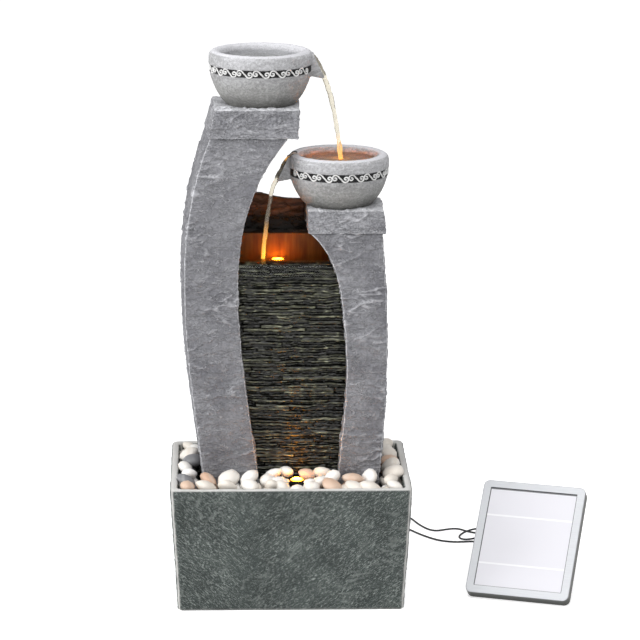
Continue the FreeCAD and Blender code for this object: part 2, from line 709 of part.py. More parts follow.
def pebble_cells():
    """Cells round the column that each hold one stone: number, centre and size."""
    half_x, half_y = inside_half(TRAY_TOP)
    rear = COLUMN_FRONT + LEFT_DEPTH + TRAY_GAP
    left = min(x for share, x in LEFT_OUTER[:2]) - LEFT_SPLAY - TRAY_GAP
    right = max(x for share, x in RIGHT_OUTER[:2]) + RIGHT_SPLAY + TRAY_GAP
    inner_left = max(x for share, x in LEFT_INNER[:2])
    inner_right = min(x for share, x in RIGHT_INNER[:2])
    beds = [(-half_x, half_x, -half_y, COLUMN_FRONT - TRAY_GAP), (-half_x, half_x, rear, half_y),
            (-half_x, left, COLUMN_FRONT, rear), (right, half_x, COLUMN_FRONT, rear),
            (inner_left, inner_right, COLUMN_FRONT, SLATE_FRONT - TRAY_GAP)]
    cells = []
    for bed, (x0, x1, y0, y1) in enumerate(beds):
        columns = max(1, int((x1 - x0) / PEBBLE_LENGTH))
        rows = max(1, int((y1 - y0) / PEBBLE_BREADTH))
        wide = (x1 - x0) / columns
        deep = (y1 - y0) / rows
        for row in range(rows):
            for column in range(columns):
                number = 2 * column + 5 * row + 6 * bed
                cells.append((number, x0 + wide * (column + 0.5), y0 + deep * (row + 0.5), wide, deep))
    return cells


def pebbles():
    """Stones sorted by colour, each lying on the tray and clear of the lamp among them."""
    groups = {"cream": [], "tan": [], "grey": []}
    lamp_x, lamp_y = PEBBLE_LAMP_XY
    for number, x, y, wide, deep in pebble_cells():
        if abs(x - lamp_x) < LAMP_RADIUS + wide / 2 and abs(y - lamp_y) < LAMP_RADIUS + deep / 2:
            continue
        vary = math.sin(number * 2.1)
        other = math.sin(number * 3.7 + 1)
        size = Vector((wide - PEBBLE_GAP) * (1 - PEBBLE_VARY + PEBBLE_VARY * vary),
                      (deep - PEBBLE_GAP) * (1 - PEBBLE_VARY + PEBBLE_VARY * other),
                      min(PEBBLE_HEIGHT * (1 + 3 * PEBBLE_VARY * other), 1.3 * deep))
        colour = "tan" if number % 7 == 0 else "grey" if number % 17 == 5 else "cream"
        groups[colour].append(pebble(Vector(x, y, TRAY_TOP), size, 0.5 * vary))
    return groups


def on_axis(x, radius, length):
    """Cylinder about the pump's axis, from a place along it."""
    return rod(Vector(x, PUMP_AXIS.y, PUMP_AXIS.z), radius, length, X_AXIS)


def pump_body():
    """Motor block with a rotor well, the impeller's chamber and the nozzle above it."""
    axis = PUMP_AXIS
    half = PUMP_WIDTH / 2
    low = TROUGH_FLOOR + FOOT_HEIGHT
    motor = block(MOTOR_X, MOTOR_X + PUMP_MOTOR, axis.y - half, axis.y + half, low, axis.z + half)
    long_edges = [edge for edge in motor.Edges if abs(edge.tangentAt(edge.FirstParameter).x) > 0.9]
    motor = motor.makeFillet(PUMP_ROUND, long_edges)
    drum = on_axis(CHAMBER_X, CHAMBER_RADIUS + CHAMBER_WALL, CHAMBER_DEPTH)
    nozzle = rod(axis, NOZZLE_RADIUS, NOZZLE_TOP - axis.z)
    room = on_axis(CHAMBER_X - CUT_PAST, CHAMBER_RADIUS, CHAMBER_DEPTH + CUT_PAST)
    well = on_axis(MOTOR_X - CUT_PAST, ROTOR_RADIUS + ROTOR_ROOM, ROTOR_LENGTH + CUT_PAST + ROTOR_ROOM)
    bore = rod(axis, NOZZLE_BORE, NOZZLE_TOP)
    seat = on_axis(MOTOR_X, SHAFT_RADIUS, SHAFT_END - MOTOR_X)
    return motor.fuse([drum, nozzle]).cut(room).cut(well).cut(bore).cut(seat)


def impeller():
    """Magnet rotor with a backed wheel of straight blades, bored for the shaft."""
    blade_x = MOTOR_X - ROTOR_STAND - BLADE_WIDTH
    hub = on_axis(blade_x, HUB_RADIUS, BLADE_WIDTH)
    rotor = on_axis(MOTOR_X - ROTOR_STAND, ROTOR_RADIUS, ROTOR_LENGTH)
    plate = on_axis(MOTOR_X - ROTOR_STAND - BLADE_PLATE, BLADE_RADIUS, BLADE_PLATE)
    blades = []
    for index in range(BLADE_COUNT):
        root = HUB_RADIUS - BLADE_THICK
        blade = block(0, BLADE_WIDTH, -BLADE_THICK / 2, BLADE_THICK / 2, root, BLADE_RADIUS)
        blade.translate(Vector(blade_x, PUMP_AXIS.y, PUMP_AXIS.z))
        blade.rotate(PUMP_AXIS, X_AXIS, 360 / BLADE_COUNT * index)
        blades.append(blade)
    hole = on_axis(blade_x - CUT_PAST, SHAFT_RADIUS + RUNNING_GAP, BLADE_WIDTH + ROTOR_LENGTH + 2 * CUT_PAST)
    return rotor.fuse([hub, plate] + blades).cut(hole).removeSplitter()


def pump_cover():
    """Slotted intake cover with a seat for the shaft and a headed pivot for the dial."""
    cover = on_axis(COVER_X, CHAMBER_RADIUS + CHAMBER_WALL, COVER_DEPTH)
    mouth = on_axis(COVER_X + CHAMBER_WALL, CHAMBER_RADIUS - COVER_LIP, COVER_DEPTH)
    boss = on_axis(COVER_X + CHAMBER_WALL / 2, SHAFT_RADIUS + COVER_LIP, COVER_DEPTH - CHAMBER_WALL)
    slots = []
    for place in (-2, -1, 1, 2):
        z = PUMP_AXIS.z + place * 2 * COVER_SLOT
        slots.append(block(COVER_X - CUT_PAST, COVER_X + CHAMBER_WALL + CUT_PAST, PUMP_AXIS.y - DIAL_RADIUS,
                           PUMP_AXIS.y + DIAL_RADIUS, z - COVER_SLOT / 2, z + COVER_SLOT / 2))
    head_x = COVER_X - DIAL_THICK - DIAL_HEAD
    pivot = on_axis(head_x, DIAL_PIVOT, DIAL_THICK + DIAL_HEAD + CUT_PAST)
    head = on_axis(head_x, DIAL_PIVOT + DIAL_HEAD, DIAL_HEAD - SEAT_GAP)
    seat = on_axis(SHAFT_START, SHAFT_RADIUS, COVER_DEPTH)
    return cover.cut(mouth).fuse(boss).cut(slots).fuse([pivot, head]).cut(seat).removeSplitter()


def flow_dial():
    """Disc with a window and a finger tab that closes the intake slots as it turns."""
    axis = PUMP_AXIS
    start = COVER_X - SEAT_GAP / 2 - DIAL_THICK
    disc = on_axis(start, DIAL_RADIUS, DIAL_THICK)
    high = axis.z + DIAL_RADIUS - DIAL_RIM
    window = block(start - CUT_PAST, start + DIAL_THICK + CUT_PAST,
                   axis.y - DIAL_WINDOW, axis.y + DIAL_WINDOW, high - DIAL_TAB, high)
    tab_foot = axis.z - DIAL_RADIUS
    tab = block(start - DIAL_TAB, start + DIAL_THICK / 2, axis.y - DIAL_TAB / 2, axis.y + DIAL_TAB / 2,
                tab_foot, tab_foot + DIAL_WINDOW)
    hole = on_axis(start - CUT_PAST, DIAL_PIVOT + RUNNING_GAP, DIAL_THICK + 2 * CUT_PAST)
    return disc.fuse(tab).cut(window).cut(hole).removeSplitter()


def pump_feet():
    """Four suction feet under the motor block."""
    inset = FOOT_RADIUS + FOOT_INSET
    half = PUMP_WIDTH / 2
    feet = []
    for x in (MOTOR_X + inset, MOTOR_X + PUMP_MOTOR - inset):
        for y in (PUMP_AXIS.y - half + inset, PUMP_AXIS.y + half - inset):
            foot = Vector(x, y, TROUGH_FLOOR)
            feet.append(Part.makeCone(FOOT_RADIUS, FOOT_RADIUS - FOOT_DRAFT, FOOT_HEIGHT, foot))
    return Part.makeCompound(feet)


def pump_pieces():
    """Small submersible pump, piece by piece."""
    shaft = on_axis(SHAFT_START, SHAFT_RADIUS, SHAFT_END - SHAFT_START)
    return {"pump_body": pump_body(), "pump_cover": pump_cover(), "pump_impeller": impeller(),
            "pump_shaft": shaft, "flow_dial": flow_dial(), "pump_feet": pump_feet()}


def riser_route():
    """Centre line of the riser tube: up from the pump, through the left pillar, to the top bowl."""
    x, y = TOP_BOWL_CENTRE
    pump = PUMP_AXIS
    return [Vector(pump.x, pump.y, NOZZLE_TOP - INLET_BARB), Vector(pump.x, pump.y, 150.0),
            Vector(-14.0, 0.5, 225.0), Vector(-62.0, 1.0, 300.0), Vector(-104.0, 2.0, 380.0),
            Vector(-113.0, 3.0, 470.0), Vector(-100.0, 4.0, 555.0), Vector(-64.0, 5.5, 615.0),
            Vector(x, y, LEFT_TOP - 20.0), Vector(x, y, LEFT_CAP_Z - SEAT_GAP)]


def bowl_inlet():
    """Inlet through the top bowl's floor: a barb in the riser tube, and a flange that spreads the water."""
    x, y = TOP_BOWL_CENTRE
    floor = LEFT_CAP_Z + BOWL_FLOOR
    sill = floor + INLET_SILL
    lid = floor + INLET_FLANGE_THICK - INLET_LID
    start = LEFT_CAP_Z - 2 * INLET_BARB
    reach = INLET_FLANGE + CUT_PAST
    half = INLET_SLOT / 2
    flange = rod(Vector(x, y, floor), INLET_FLANGE, INLET_FLANGE_THICK)
    stem = rod(Vector(x, y, LEFT_CAP_Z), INLET_STEM, BOWL_FLOOR)
    barb = rod(Vector(x, y, LEFT_CAP_Z - INLET_BARB), NOZZLE_RADIUS, INLET_BARB)
    bore = rod(Vector(x, y, start), NOZZLE_BORE, lid - start)
    across = block(x - reach, x + reach, y - half, y + half, sill, lid)
    along = block(x - half, x + half, y - reach, y + reach, sill, lid)
    return flange.fuse([stem, barb]).cut([bore, across, along]).removeSplitter()


def lamp(x, y, z, height):
    """Puck lamp body with a lens recess and a lead port, and its domed lens."""
    body = rod(Vector(x, y, z), LAMP_RADIUS, height - LAMP_RIM)
    neck = rod(Vector(x, y, z), LAMP_RADIUS - LAMP_RIM, height)
    seat = Vector(x, y, z + height - 2 * LAMP_RIM)
    recess = rod(seat, LAMP_LENS_RADIUS + RUNNING_GAP, 3 * LAMP_RIM)
    port = rod(Vector(x, y, z - 1), LEAD_RADIUS + SLEEVE_GAP, LAMP_PORT + 1)
    body = body.fuse(neck).cut(recess).cut(port).removeSplitter()
    ball = (LAMP_LENS_RADIUS ** 2 + LAMP_CROWN ** 2) / (2 * LAMP_CROWN)
    dome = Part.makeSphere(ball, Vector(x, y, z + height + LAMP_CROWN - ball))
    puck = rod(seat, LAMP_LENS_RADIUS, 2 * LAMP_RIM + LAMP_CROWN)
    return body, puck.common(dome)


def wall_normal():
    """Outward direction of the trough's tapered rear wall."""
    return Vector(0, TROUGH_HEIGHT, -TROUGH_TAPER).normalize()


def wall_point(x):
    """Point on the outside of the rear wall at the grommets' height."""
    return Vector(x, TROUGH_DEPTH / 2 - TROUGH_TAPER * (1 - GROMMET_Z / TROUGH_HEIGHT), GROMMET_Z)


def grommet(x):
    """Rubber grommet in the rear wall, with a collar and a tapered boot."""
    face = wall_point(x)
    out = wall_normal()
    depth = TROUGH_WALL * out.y
    sleeve = rod(face - out * depth, GROMMET_RADIUS - SLEEVE_GAP, depth, out)
    collar = rod(face, GROMMET_COLLAR, GROMMET_COLLAR_THICK, out)
    boot = Part.makeCone(BOOT_ROOT, BOOT_TIP, BOOT_LENGTH, face + out * GROMMET_COLLAR_THICK, out)
    return sleeve.fuse([collar, boot]).removeSplitter()


def grommet_ends(x):
    """Where a lead meets the grommet inside and outside the trough."""
    face = wall_point(x)
    out = wall_normal()
    return face - out * (TROUGH_WALL * out.y), face + out * (GROMMET_COLLAR_THICK + BOOT_LENGTH)


def splitter():
    """Potted block where the lamp leads join."""
    x, y = SPLITTER_AT
    half = SPLITTER_SIZE * 0.5
    low = TROUGH_FLOOR
    potted = block(x - half.x, x + half.x, y - half.y, y + half.y, low, low + SPLITTER_SIZE.z)
    upright = [edge for edge in potted.Edges if edge.BoundBox.ZLength > 1]
    return potted.makeFillet(SPLITTER_ROUND, upright)


def places(rows):
    """Route points from rows of X, Y and Z."""
    return [Vector(*row) for row in rows]


def on_floor(rows):
    """Route points of a lead that lies on the floor, from rows of X and Y."""
    return [Vector(x, y, FLOOR_LIE) for x, y in rows]


def inner_leads():
    """Leads inside the object, from the lamps and the pump to the splitter and the grommets."""
    sx, sy = SPLITTER_AT
    half = SPLITTER_SIZE * 0.5
    mid = TROUGH_FLOOR + half.z
    bx, by = LOWER_BOWL_CENTRE
    cx, cy = BASIN_LAMP_XY
    px, py = PEBBLE_LAMP_XY
    motor_end = MOTOR_X + PUMP_MOTOR
    inward = wall_normal() * -LEAD_SETBACK
    lamp_wall = grommet_ends(LAMP_EXIT_X)[0]
    pump_wall = grommet_ends(PUMP_EXIT_X)[0]
    side = inside_half(TROUGH_FLOOR)[0] - LEAD_WALL
    alley = (RIGHT_OUTER[0][1] + RIGHT_SPLAY + inside_half(TROUGH_FLOOR)[0]) / 2
    return {
        "bowl_lamp_lead": places([
            (bx, by, RIGHT_CAP_Z + BOWL_FLOOR + LAMP_PORT), (bx, by, 544), (82, -5, 500), (101, -7, 450),
            (110, -9, 390), (111, -11, 330), (107, -13, 270), (101, -14, 210), (97, -13, 150), (95, -10, 100),
            (94, -3, 56), (92, 16, 33), (88, 38, 22), (sx, 56, mid), (sx, sy - half.y, mid)]),
        "basin_lamp_lead": places([
            (cx, cy, BASIN_FLOOR_Z + BASIN_WALL + LAMP_PORT), (cx, cy, 425), (-4, 5, 382), (20, 9, 330),
            (38, 10, 272), (48, 9, 212), (53, 8, 152), (55, 9, 98), (56, 13, 54), (56, 24, 25), (54, 45, 18),
            (52, 66, 18), (60, 80, mid), (sx - half.x, 80, mid)]),
        "pebble_lamp_lead": places([
            (px, py, TRAY_TOP + LAMP_PORT), (px, py, 128), (16, -80, 88), (38, -84, 50), (72, -86, 22),
            (side - 34, -80, 15), (alley, -58, 14.5), (side, -22, 14), (side, 16, 14.5),
            (side - 4, 52, 15), (side - 14, 76, 17), ((side + sx + half.x) / 2, sy, mid),
            (sx + half.x, sy, mid)]),
        "lamp_tail": places([
            (sx - half.x, 89, mid), (58, 89, mid), (44, 90, 26), (33, 91, 50), (26, 91, 82),
            (LAMP_EXIT_X, 92, 112), lamp_wall + inward, lamp_wall]),
        "pump_tail": places([
            (motor_end, -10, 30), (53, -10, 30), (58, 1, 23), (53, 15, 17), (46, 28, 15), (34, 42, 15),
            (18, 56, 15), (3, 70, 17), (-10, 81, 28), (-18, 88, 54), (-21, 91, 84), (PUMP_EXIT_X, 92, 112),
            pump_wall + inward, pump_wall]),
    }


def free_leads():
    """The two leads over the floor: grommet to coil, and coil to the solar panel."""
    over = FLOOR_LIE + LEAD + LEAD_CROSSING
    lamp_boot = grommet_ends(LAMP_EXIT_X)[1]
    pump_boot = grommet_ends(PUMP_EXIT_X)[1]
    outward = wall_normal() * LEAD_SETBACK
    lamp_in, lamp_out = coil_ends(LAMP_COIL_CENTRE, LAMP_COIL_TURNS, COIL_TAIL)
    pump_in, pump_out = coil_ends(PUMP_COIL_CENTRE, PUMP_COIL_TURNS, COIL_TAIL)
    return {
        "lamp_lead_start": places([
            lamp_boot, lamp_boot + outward, (23, 173, 116), (25, 177, 84), (24, 179, 48), (25, 185, 18),
            (32, 199, FLOOR_LIE)]) + lamp_in,
        "lamp_lead_run": lamp_out + on_floor([
            (126, 222), (147, 243), (166, 260), (184, 261), (195, 248), (204, 233), (216, 216), (230, 200),
            (244, 191), (260, 187), (275, 188), (290, 190), (305, 180), (314, 160), (320, 132), (321, 98),
            (316, 66), (308, 38), (301, 12)]) + gland_route(LAMP_GLAND),
        "pump_lead_start": places([
            pump_boot, pump_boot + outward, (-23, 173, 116), (-25, 177, 84), (-24, 180, 48), (-25, 187, 18)
        ]) + on_floor([(-26, 208), (-20, 238), (-4, 266), (20, 288)]) + pump_in,
        "pump_lead_run": pump_out + on_floor([
            (126, 305), (150, 316), (172, 326), (190, 322), (200, 307), (207, 283), (217, 260), (226, 247),
            (236, 243), (247, 248), (260, 254), (272, 252), (281, 241), (293, 232), (308, 225), (323, 227),
            (332, 238), (328, 251)]) + places([
                (315, 252, 3.2), (302, 241, over), (287, 233, over), (275, 228, 2.8)]) + on_floor([
                    (268, 216), (269, 203), (279, 198), (291, 205), (306, 209), (320, 198), (329, 176),
                    (335, 146), (337, 110), (333, 76), (326, 43), (318, 13)]) + gland_route(PUMP_GLAND),
    }


def panel_placement():
    """Place of the solar panel: its rear lower edge on the floor, leaning back and turned."""
    yaw = math.radians(PANEL_YAW)
    lean = math.radians(PANEL_LEAN)
    back = Vector(math.sin(yaw), math.cos(yaw), 0)
    along = Vector(math.cos(yaw), -math.sin(yaw), 0)
    up = back * math.sin(lean) + Z_AXIS * math.cos(lean)
    out = along.cross(up)
    base = Vector(PANEL_AT[0], PANEL_AT[1], PANEL_THICK * math.sin(lean))
    return FreeCAD.Placement(base, FreeCAD.Rotation(along, up, out, "ZXY"))


def gland_tip(place):
    """Where a lead meets the end of a panel gland."""
    return panel_placement().multVec(Vector(place[0], place[1], -PANEL_THICK - GLAND_LENGTH))


def gland_route(place):
    """Last route points of a lead that rises into a gland on the back of the panel."""
    tip = gland_tip(place)
    away = panel_placement().Rotation.multVec(Z_AXIS * -GLAND_RUN)
    return [tip + away * 2 + Z_AXIS * GLAND_DROP, tip + away, tip]


def panel_plate(inset, z0, z1):
    """Rounded plate of the panel's outline, drawn in by an inset."""
    corner = max(PANEL_CORNER - inset, 1.0)
    wire = rounded_rectangle(PANEL_WIDTH - 2 * inset, PANEL_LENGTH - 2 * inset, corner, z0)
    plate = Part.Face(wire).extrude(Vector(0, 0, z1 - z0))
    plate.translate(Vector(0, PANEL_LENGTH / 2, 0))
    return plate


def panel_pieces():
    """Solar panel in its own frame: housing, bezel, cells, inner parts, button, stand and fixings."""
    back = -PANEL_THICK
    seam = -BEZEL_THICK
    floor = back + HOUSING_WALL
    screw_x = PANEL_WIDTH / 2 - SCREW_INSET
    screws = [Vector(x, y, back) for x in (-screw_x, screw_x) for y in SCREW_HEIGHTS]
    pivot_z = back - STAND_OFFSET
    half = STAND_WIDTH / 2

    housing = panel_plate(0, back, seam).cut(panel_plate(HOUSING_WALL, floor, seam + 1))
    bosses = [rod(Vector(at.x, at.y, floor), SCREW_HEAD, seam - floor) for at in screws]
    housing = housing.fuse(bosses).common(panel_plate(0, back, seam))
    ears = []
    for side in (-1, 1):
        inner = side * (half + SEAT_GAP)
        outer = inner + side * EAR_WIDTH
        left = min(inner, outer)
        ear = block(left, left + EAR_WIDTH, STAND_PIVOT - STAND_BARREL, STAND_PIVOT + STAND_BARREL,
                    pivot_z, back)
        tip = rod(Vector(left, STAND_PIVOT, pivot_z), STAND_BARREL, EAR_WIDTH, X_AXIS)
        ears.append(ear.fuse(tip))
    housing = housing.fuse(ears).removeSplitter()
    pin_length = STAND_WIDTH + 2 * (SEAT_GAP + EAR_WIDTH)
    pin_start = Vector(-pin_length / 2, STAND_PIVOT, pivot_z)
    housing = housing.cut(rod(pin_start, STAND_PIN + RUNNING_GAP, pin_length, X_AXIS))
    bx, by = BUTTON_AT
    housing = housing.cut(rod(Vector(bx, by, back - 1), BUTTON_RADIUS + RUNNING_GAP, HOUSING_WALL + 2))
    bezel_hole = (BEZEL_THICK + BEZEL_LIP) / 2
    for at in screws:
        housing = housing.cut(rod(at, SCREW_HEAD + SLEEVE_GAP, SCREW_HEAD_DEPTH))
        housing = housing.cut(rod(at, SCREW_SHANK + SLEEVE_GAP, PANEL_THICK))

    bezel = panel_plate(0, seam, 0).cut(panel_plate(BEZEL_BORDER, seam - 1, 1))
    bezel = bezel.cut(panel_plate(BEZEL_BORDER - BEZEL_REBATE, seam - 1, -BEZEL_LIP))
    for at in screws:
        bezel = bezel.cut(rod(Vector(at.x, at.y, seam), SCREW_SHANK + SLEEVE_GAP, BEZEL_THICK - bezel_hole))
    front_edge = [edge for edge in bezel.Edges if edge.BoundBox.ZMin > -0.01 and edge.BoundBox.XLength > 0
                  and max(abs(v.Point.x) for v in edge.Vertexes) > PANEL_WIDTH / 2 - PANEL_CORNER - 0.1]
    bezel = bezel.makeFillet(1.5, front_edge)
    cells = panel_plate(BEZEL_BORDER - BEZEL_REBATE + SEAT_GAP, -BEZEL_LIP - CELL_THICK, -BEZEL_LIP)

    def flat(size, at):
        return Part.makeBox(size.x, size.y, size.z, Vector(at[0] - size.x / 2, at[1] - size.y / 2, floor))

    button = rod(Vector(bx, by, back - BUTTON_PROUD), BUTTON_RADIUS, BUTTON_PROUD + HOUSING_WALL + SEAT_GAP)
    keeper = rod(Vector(bx, by, floor + SEAT_GAP), BUTTON_RADIUS + BUTTON_LEDGE, BUTTON_FLANGE)
    button = button.fuse(keeper).removeSplitter()
    heads = []
    for at in screws:
        head = rod(at, SCREW_HEAD, SCREW_HEAD_DEPTH)
        heads.append(head.fuse(rod(at, SCREW_SHANK, PANEL_THICK - bezel_hole - SEAT_GAP)).removeSplitter())
    glands = []
    for x, y in (LAMP_GLAND, PUMP_GLAND):
        glands.append(Part.makeCone(GLAND_RADIUS, BOOT_TIP, GLAND_LENGTH, Vector(x, y, back), Z_AXIS * -1))
    return {"panel_back": housing, "panel_bezel": bezel, "solar_cells": cells,
            "panel_battery": flat(BATTERY_SIZE, BATTERY_AT), "panel_board": flat(BOARD_SIZE, BOARD_AT),
            "panel_button": button, "panel_stand": stand(pivot_z),
            "stand_pin": rod(pin_start, STAND_PIN, pin_length, X_AXIS),
            "panel_screws": Part.makeCompound(heads), "panel_glands": Part.makeCompound(glands)}


def stand(pivot_z):
    """Folding leg: a framed plate on a barrel, swung out until its foot meets the floor."""
    lean = math.radians(PANEL_LEAN)
    tilt = math.radians(STAND_TILT)
    pivot_height = PANEL_THICK * math.sin(lean) + STAND_PIVOT * math.cos(lean) + pivot_z * math.sin(lean)
    length = (pivot_height - SEAT_GAP - STAND_THICK / 2 * math.sin(tilt)) / math.cos(tilt)
    half = STAND_WIDTH / 2
    low = pivot_z - STAND_THICK / 2
    high = pivot_z + STAND_THICK / 2
    plate = block(-half, half, STAND_PIVOT - length, STAND_PIVOT, low, high)
    window = block(STAND_BORDER - half, half - STAND_BORDER, STAND_PIVOT - length + 2 * STAND_BORDER,
                   STAND_PIVOT - 2 * STAND_BORDER, low - 1, high + 1)
    axis_start = Vector(-half, STAND_PIVOT, pivot_z)
    barrel = rod(axis_start, STAND_BARREL, STAND_WIDTH, X_AXIS)
    leg = plate.cut(window).fuse(barrel).removeSplitter()
    leg = leg.cut(rod(axis_start, STAND_PIN + RUNNING_GAP, STAND_WIDTH, X_AXIS))
    leg.rotate(axis_start, X_AXIS, PANEL_LEAN + STAND_TILT)
    return leg


def main():
    os.makedirs("parts", exist_ok=True)
    tube = route_edges(riser_route(), "riser_tube")
    inner = inner_leads()
    tube_port = pipe(tube, TUBE_RADIUS + LEAD_PORT)
    lead_port = pipe(route_edges(inner["bowl_lamp_lead"]), LEAD_RADIUS + LEAD_PORT)

    save("trough", trough_shell())
    left = pillar(LEFT_OUTER, LEFT_INNER, LEFT_TOP, LEFT_DEPTH, LEFT_SPLAY)
    right = pillar(RIGHT_OUTER, RIGHT_INNER, RIGHT_TOP, RIGHT_DEPTH, RIGHT_SPLAY)
    left_cap = cap(LEFT_CAP_TOP, LEFT_CAP_FOOT, LEFT_TOP, LEFT_CAP_Z, LEFT_DEPTH, LEFT_SPLAY)
    right_cap = cap(RIGHT_CAP_TOP, RIGHT_CAP_FOOT, RIGHT_TOP, RIGHT_CAP_Z, RIGHT_DEPTH, RIGHT_SPLAY)
    inlet_port = rod(Vector(*TOP_BOWL_CENTRE, LEFT_TOP), TUBE_RADIUS + LEAD_PORT, LEFT_CAP_HEIGHT)
    save("left_pillar", left.cut(tube_port))
    save("right_pillar", right.cut(lead_port))
    save("left_cap", left_cap.cut(inlet_port))
    save("right_cap", right_cap.cut(lead_port))
    inlet_hole = INLET_STEM + SEAT_GAP
    lead_hole = LEAD_RADIUS + SLEEVE_GAP
    save("top_bowl", bowl(TOP_BOWL_CENTRE, LEFT_CAP_Z, TOP_BOWL_RADIUS, TOP_BOWL_HEIGHT, 0, inlet_hole))
    save("lower_bowl", bowl(LOWER_BOWL_CENTRE, RIGHT_CAP_Z, LOWER_BOWL_RADIUS, LOWER_BOWL_HEIGHT,
                            180, lead_hole))
    save("slate_face", slate())
    save("upper_basin", basin())
    save("rear_panel", rear_panel())
    save("pump_hatch", hatch())
    save("pebble_tray", tray())
    for colour, stones in pebbles().items():
        save("pebbles_" + colour, Part.makeCompound(stones))

    for name, shape in pump_pieces().items():
        save(name, shape)
    save("riser_tube", pipe(tube, TUBE_RADIUS).cut(pipe(tube, TUBE_BORE)))
    save("bowl_inlet", bowl_inlet())

    seats = {"bowl_lamp": (LOWER_BOWL_CENTRE, RIGHT_CAP_Z + BOWL_FLOOR, BOWL_LAMP_HEIGHT),
             "basin_lamp": (BASIN_LAMP_XY, BASIN_FLOOR_Z + BASIN_WALL, BASIN_LAMP_HEIGHT),
             "pebble_lamp": (PEBBLE_LAMP_XY, TRAY_TOP, PEBBLE_LAMP_HEIGHT)}
    for name, (centre, z, height) in seats.items():
        body, lens = lamp(centre[0], centre[1], z, height)
        save(name, body)
        save(name + "_lens", lens)
    save("lead_splitter", splitter())
    for name, points in inner.items():
        save(name, lead(points, name))

    save("lamp_grommet", grommet(LAMP_EXIT_X))
    save("pump_grommet", grommet(PUMP_EXIT_X))
    for name, points in free_leads().items():
        save(name, lead(points, name))
    save("lamp_lead_coil", coil(LAMP_COIL_CENTRE, LAMP_COIL_TURNS, "lamp_lead_coil"))
    save("pump_lead_coil", coil(PUMP_COIL_CENTRE, PUMP_COIL_TURNS, "pump_lead_coil"))
    ties = [coil_tie(LAMP_COIL_CENTRE, LAMP_COIL_TURNS), coil_tie(PUMP_COIL_CENTRE, PUMP_COIL_TURNS)]
    save("coil_ties", Part.makeCompound(ties))

    placement = panel_placement()
    for name, shape in panel_pieces().items():
        shape.Placement = placement.multiply(shape.Placement)
        save(name, shape)


main()
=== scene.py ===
# %% [markdown]
# # A tiered garden fountain
# Two curved slate pillars stand in a pebble-filled trough. A pump lifts water to the top bowl, it pours
# into the lower bowl, from there into a basin, and then runs down a wall of wet slate. A small solar panel
# feeds the pump and three amber lamps through two thin leads.
#
# The rigid pieces arrive at their real size and place. This script gives them their finish, and models what
# the maker's mould and the water add: stone relief, the scroll band, smooth pebbles, streams and pools.

# %% Load the frame
import bisect
import bpy
import json
import math
import random
from mathutils import Matrix, Vector
from mathutils.noise import noise

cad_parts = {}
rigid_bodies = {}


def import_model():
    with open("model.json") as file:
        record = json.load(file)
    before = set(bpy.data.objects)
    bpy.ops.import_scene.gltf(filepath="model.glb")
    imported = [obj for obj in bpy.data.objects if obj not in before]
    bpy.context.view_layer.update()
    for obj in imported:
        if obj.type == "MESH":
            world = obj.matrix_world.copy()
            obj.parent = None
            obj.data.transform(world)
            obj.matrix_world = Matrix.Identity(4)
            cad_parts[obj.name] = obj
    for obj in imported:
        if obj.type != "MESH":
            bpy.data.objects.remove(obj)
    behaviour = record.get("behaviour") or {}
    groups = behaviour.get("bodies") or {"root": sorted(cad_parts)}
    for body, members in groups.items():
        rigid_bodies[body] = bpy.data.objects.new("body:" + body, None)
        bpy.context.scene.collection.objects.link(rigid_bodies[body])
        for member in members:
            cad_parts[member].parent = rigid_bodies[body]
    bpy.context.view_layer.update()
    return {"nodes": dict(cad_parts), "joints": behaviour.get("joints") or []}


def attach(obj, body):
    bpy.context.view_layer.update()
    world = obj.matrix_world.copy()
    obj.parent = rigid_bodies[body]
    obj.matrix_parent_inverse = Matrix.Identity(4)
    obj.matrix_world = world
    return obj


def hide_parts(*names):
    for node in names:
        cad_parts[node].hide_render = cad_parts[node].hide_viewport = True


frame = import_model()
cad = frame["nodes"]
MM = 0.001
BODY = "fountain"

# %% [markdown]
# ## The camera
# The photograph was taken from far away with a long lens, a little above the fountain and almost straight
# in front of it. A long lens keeps the pillars' edges nearly parallel, so the same is set here: the place,
# the heading and the tilt are the ones that bring the trough's corners and the bowls' rims to where they
# are seen.

# %% Set the camera
CAMERA_PLACE = Vector((-102.1, -4203.3, 1450.2)) * MM
CAMERA_YAW = math.radians(1.985)
CAMERA_PITCH = math.radians(14.004)
CAMERA_ROLL = math.radians(0.291)
FOCAL_PIXELS = 3000.0
IMAGE_PIXELS = 640.0

reach = math.cos(CAMERA_PITCH)
forward = Vector((math.sin(CAMERA_YAW) * reach, math.cos(CAMERA_YAW) * reach, -math.sin(CAMERA_PITCH)))
level = Vector((math.cos(CAMERA_YAW), -math.sin(CAMERA_YAW), 0))
upright = level.cross(forward)
right = level * math.cos(CAMERA_ROLL) + upright * math.sin(CAMERA_ROLL)
up = upright * math.cos(CAMERA_ROLL) - level * math.sin(CAMERA_ROLL)
lens = bpy.data.cameras.new("camera")
lens.lens = FOCAL_PIXELS / IMAGE_PIXELS * lens.sensor_width
camera = bpy.data.objects.new("camera", lens)
camera.matrix_world = Matrix.Translation(CAMERA_PLACE) @ Matrix((right, up, -forward)).transposed().to_4x4()
bpy.context.scene.collection.objects.link(camera)
bpy.context.scene.camera = camera
print("lens", round(lens.lens, 1), "mm")

# %% [markdown]
# ## Nodes in one line
# A finish is a small graph of shader nodes. One helper adds a node, sets its options and links its inputs,
# so that each finish below reads as a short list. Colours are written as the usual hex codes and turned to
# the linear values that the renderer works in. A pattern's scale is worked out from its real size in
# millimetres.

# %% Helpers for finishes
def linear(code):
    """Linear colour, with alpha, of an sRGB hex code."""
    shares = [int(code[place:place + 2], 16) / 255 for place in (1, 3, 5)]
    return [c / 12.92 if c <= 0.04045 else ((c + 0.055) / 1.055) ** 2.4 for c in shares] + [1.0]


def every(size):
    """Texture scale at which a pattern repeats about once in a size in millimetres."""
    return 1 / (size * MM)


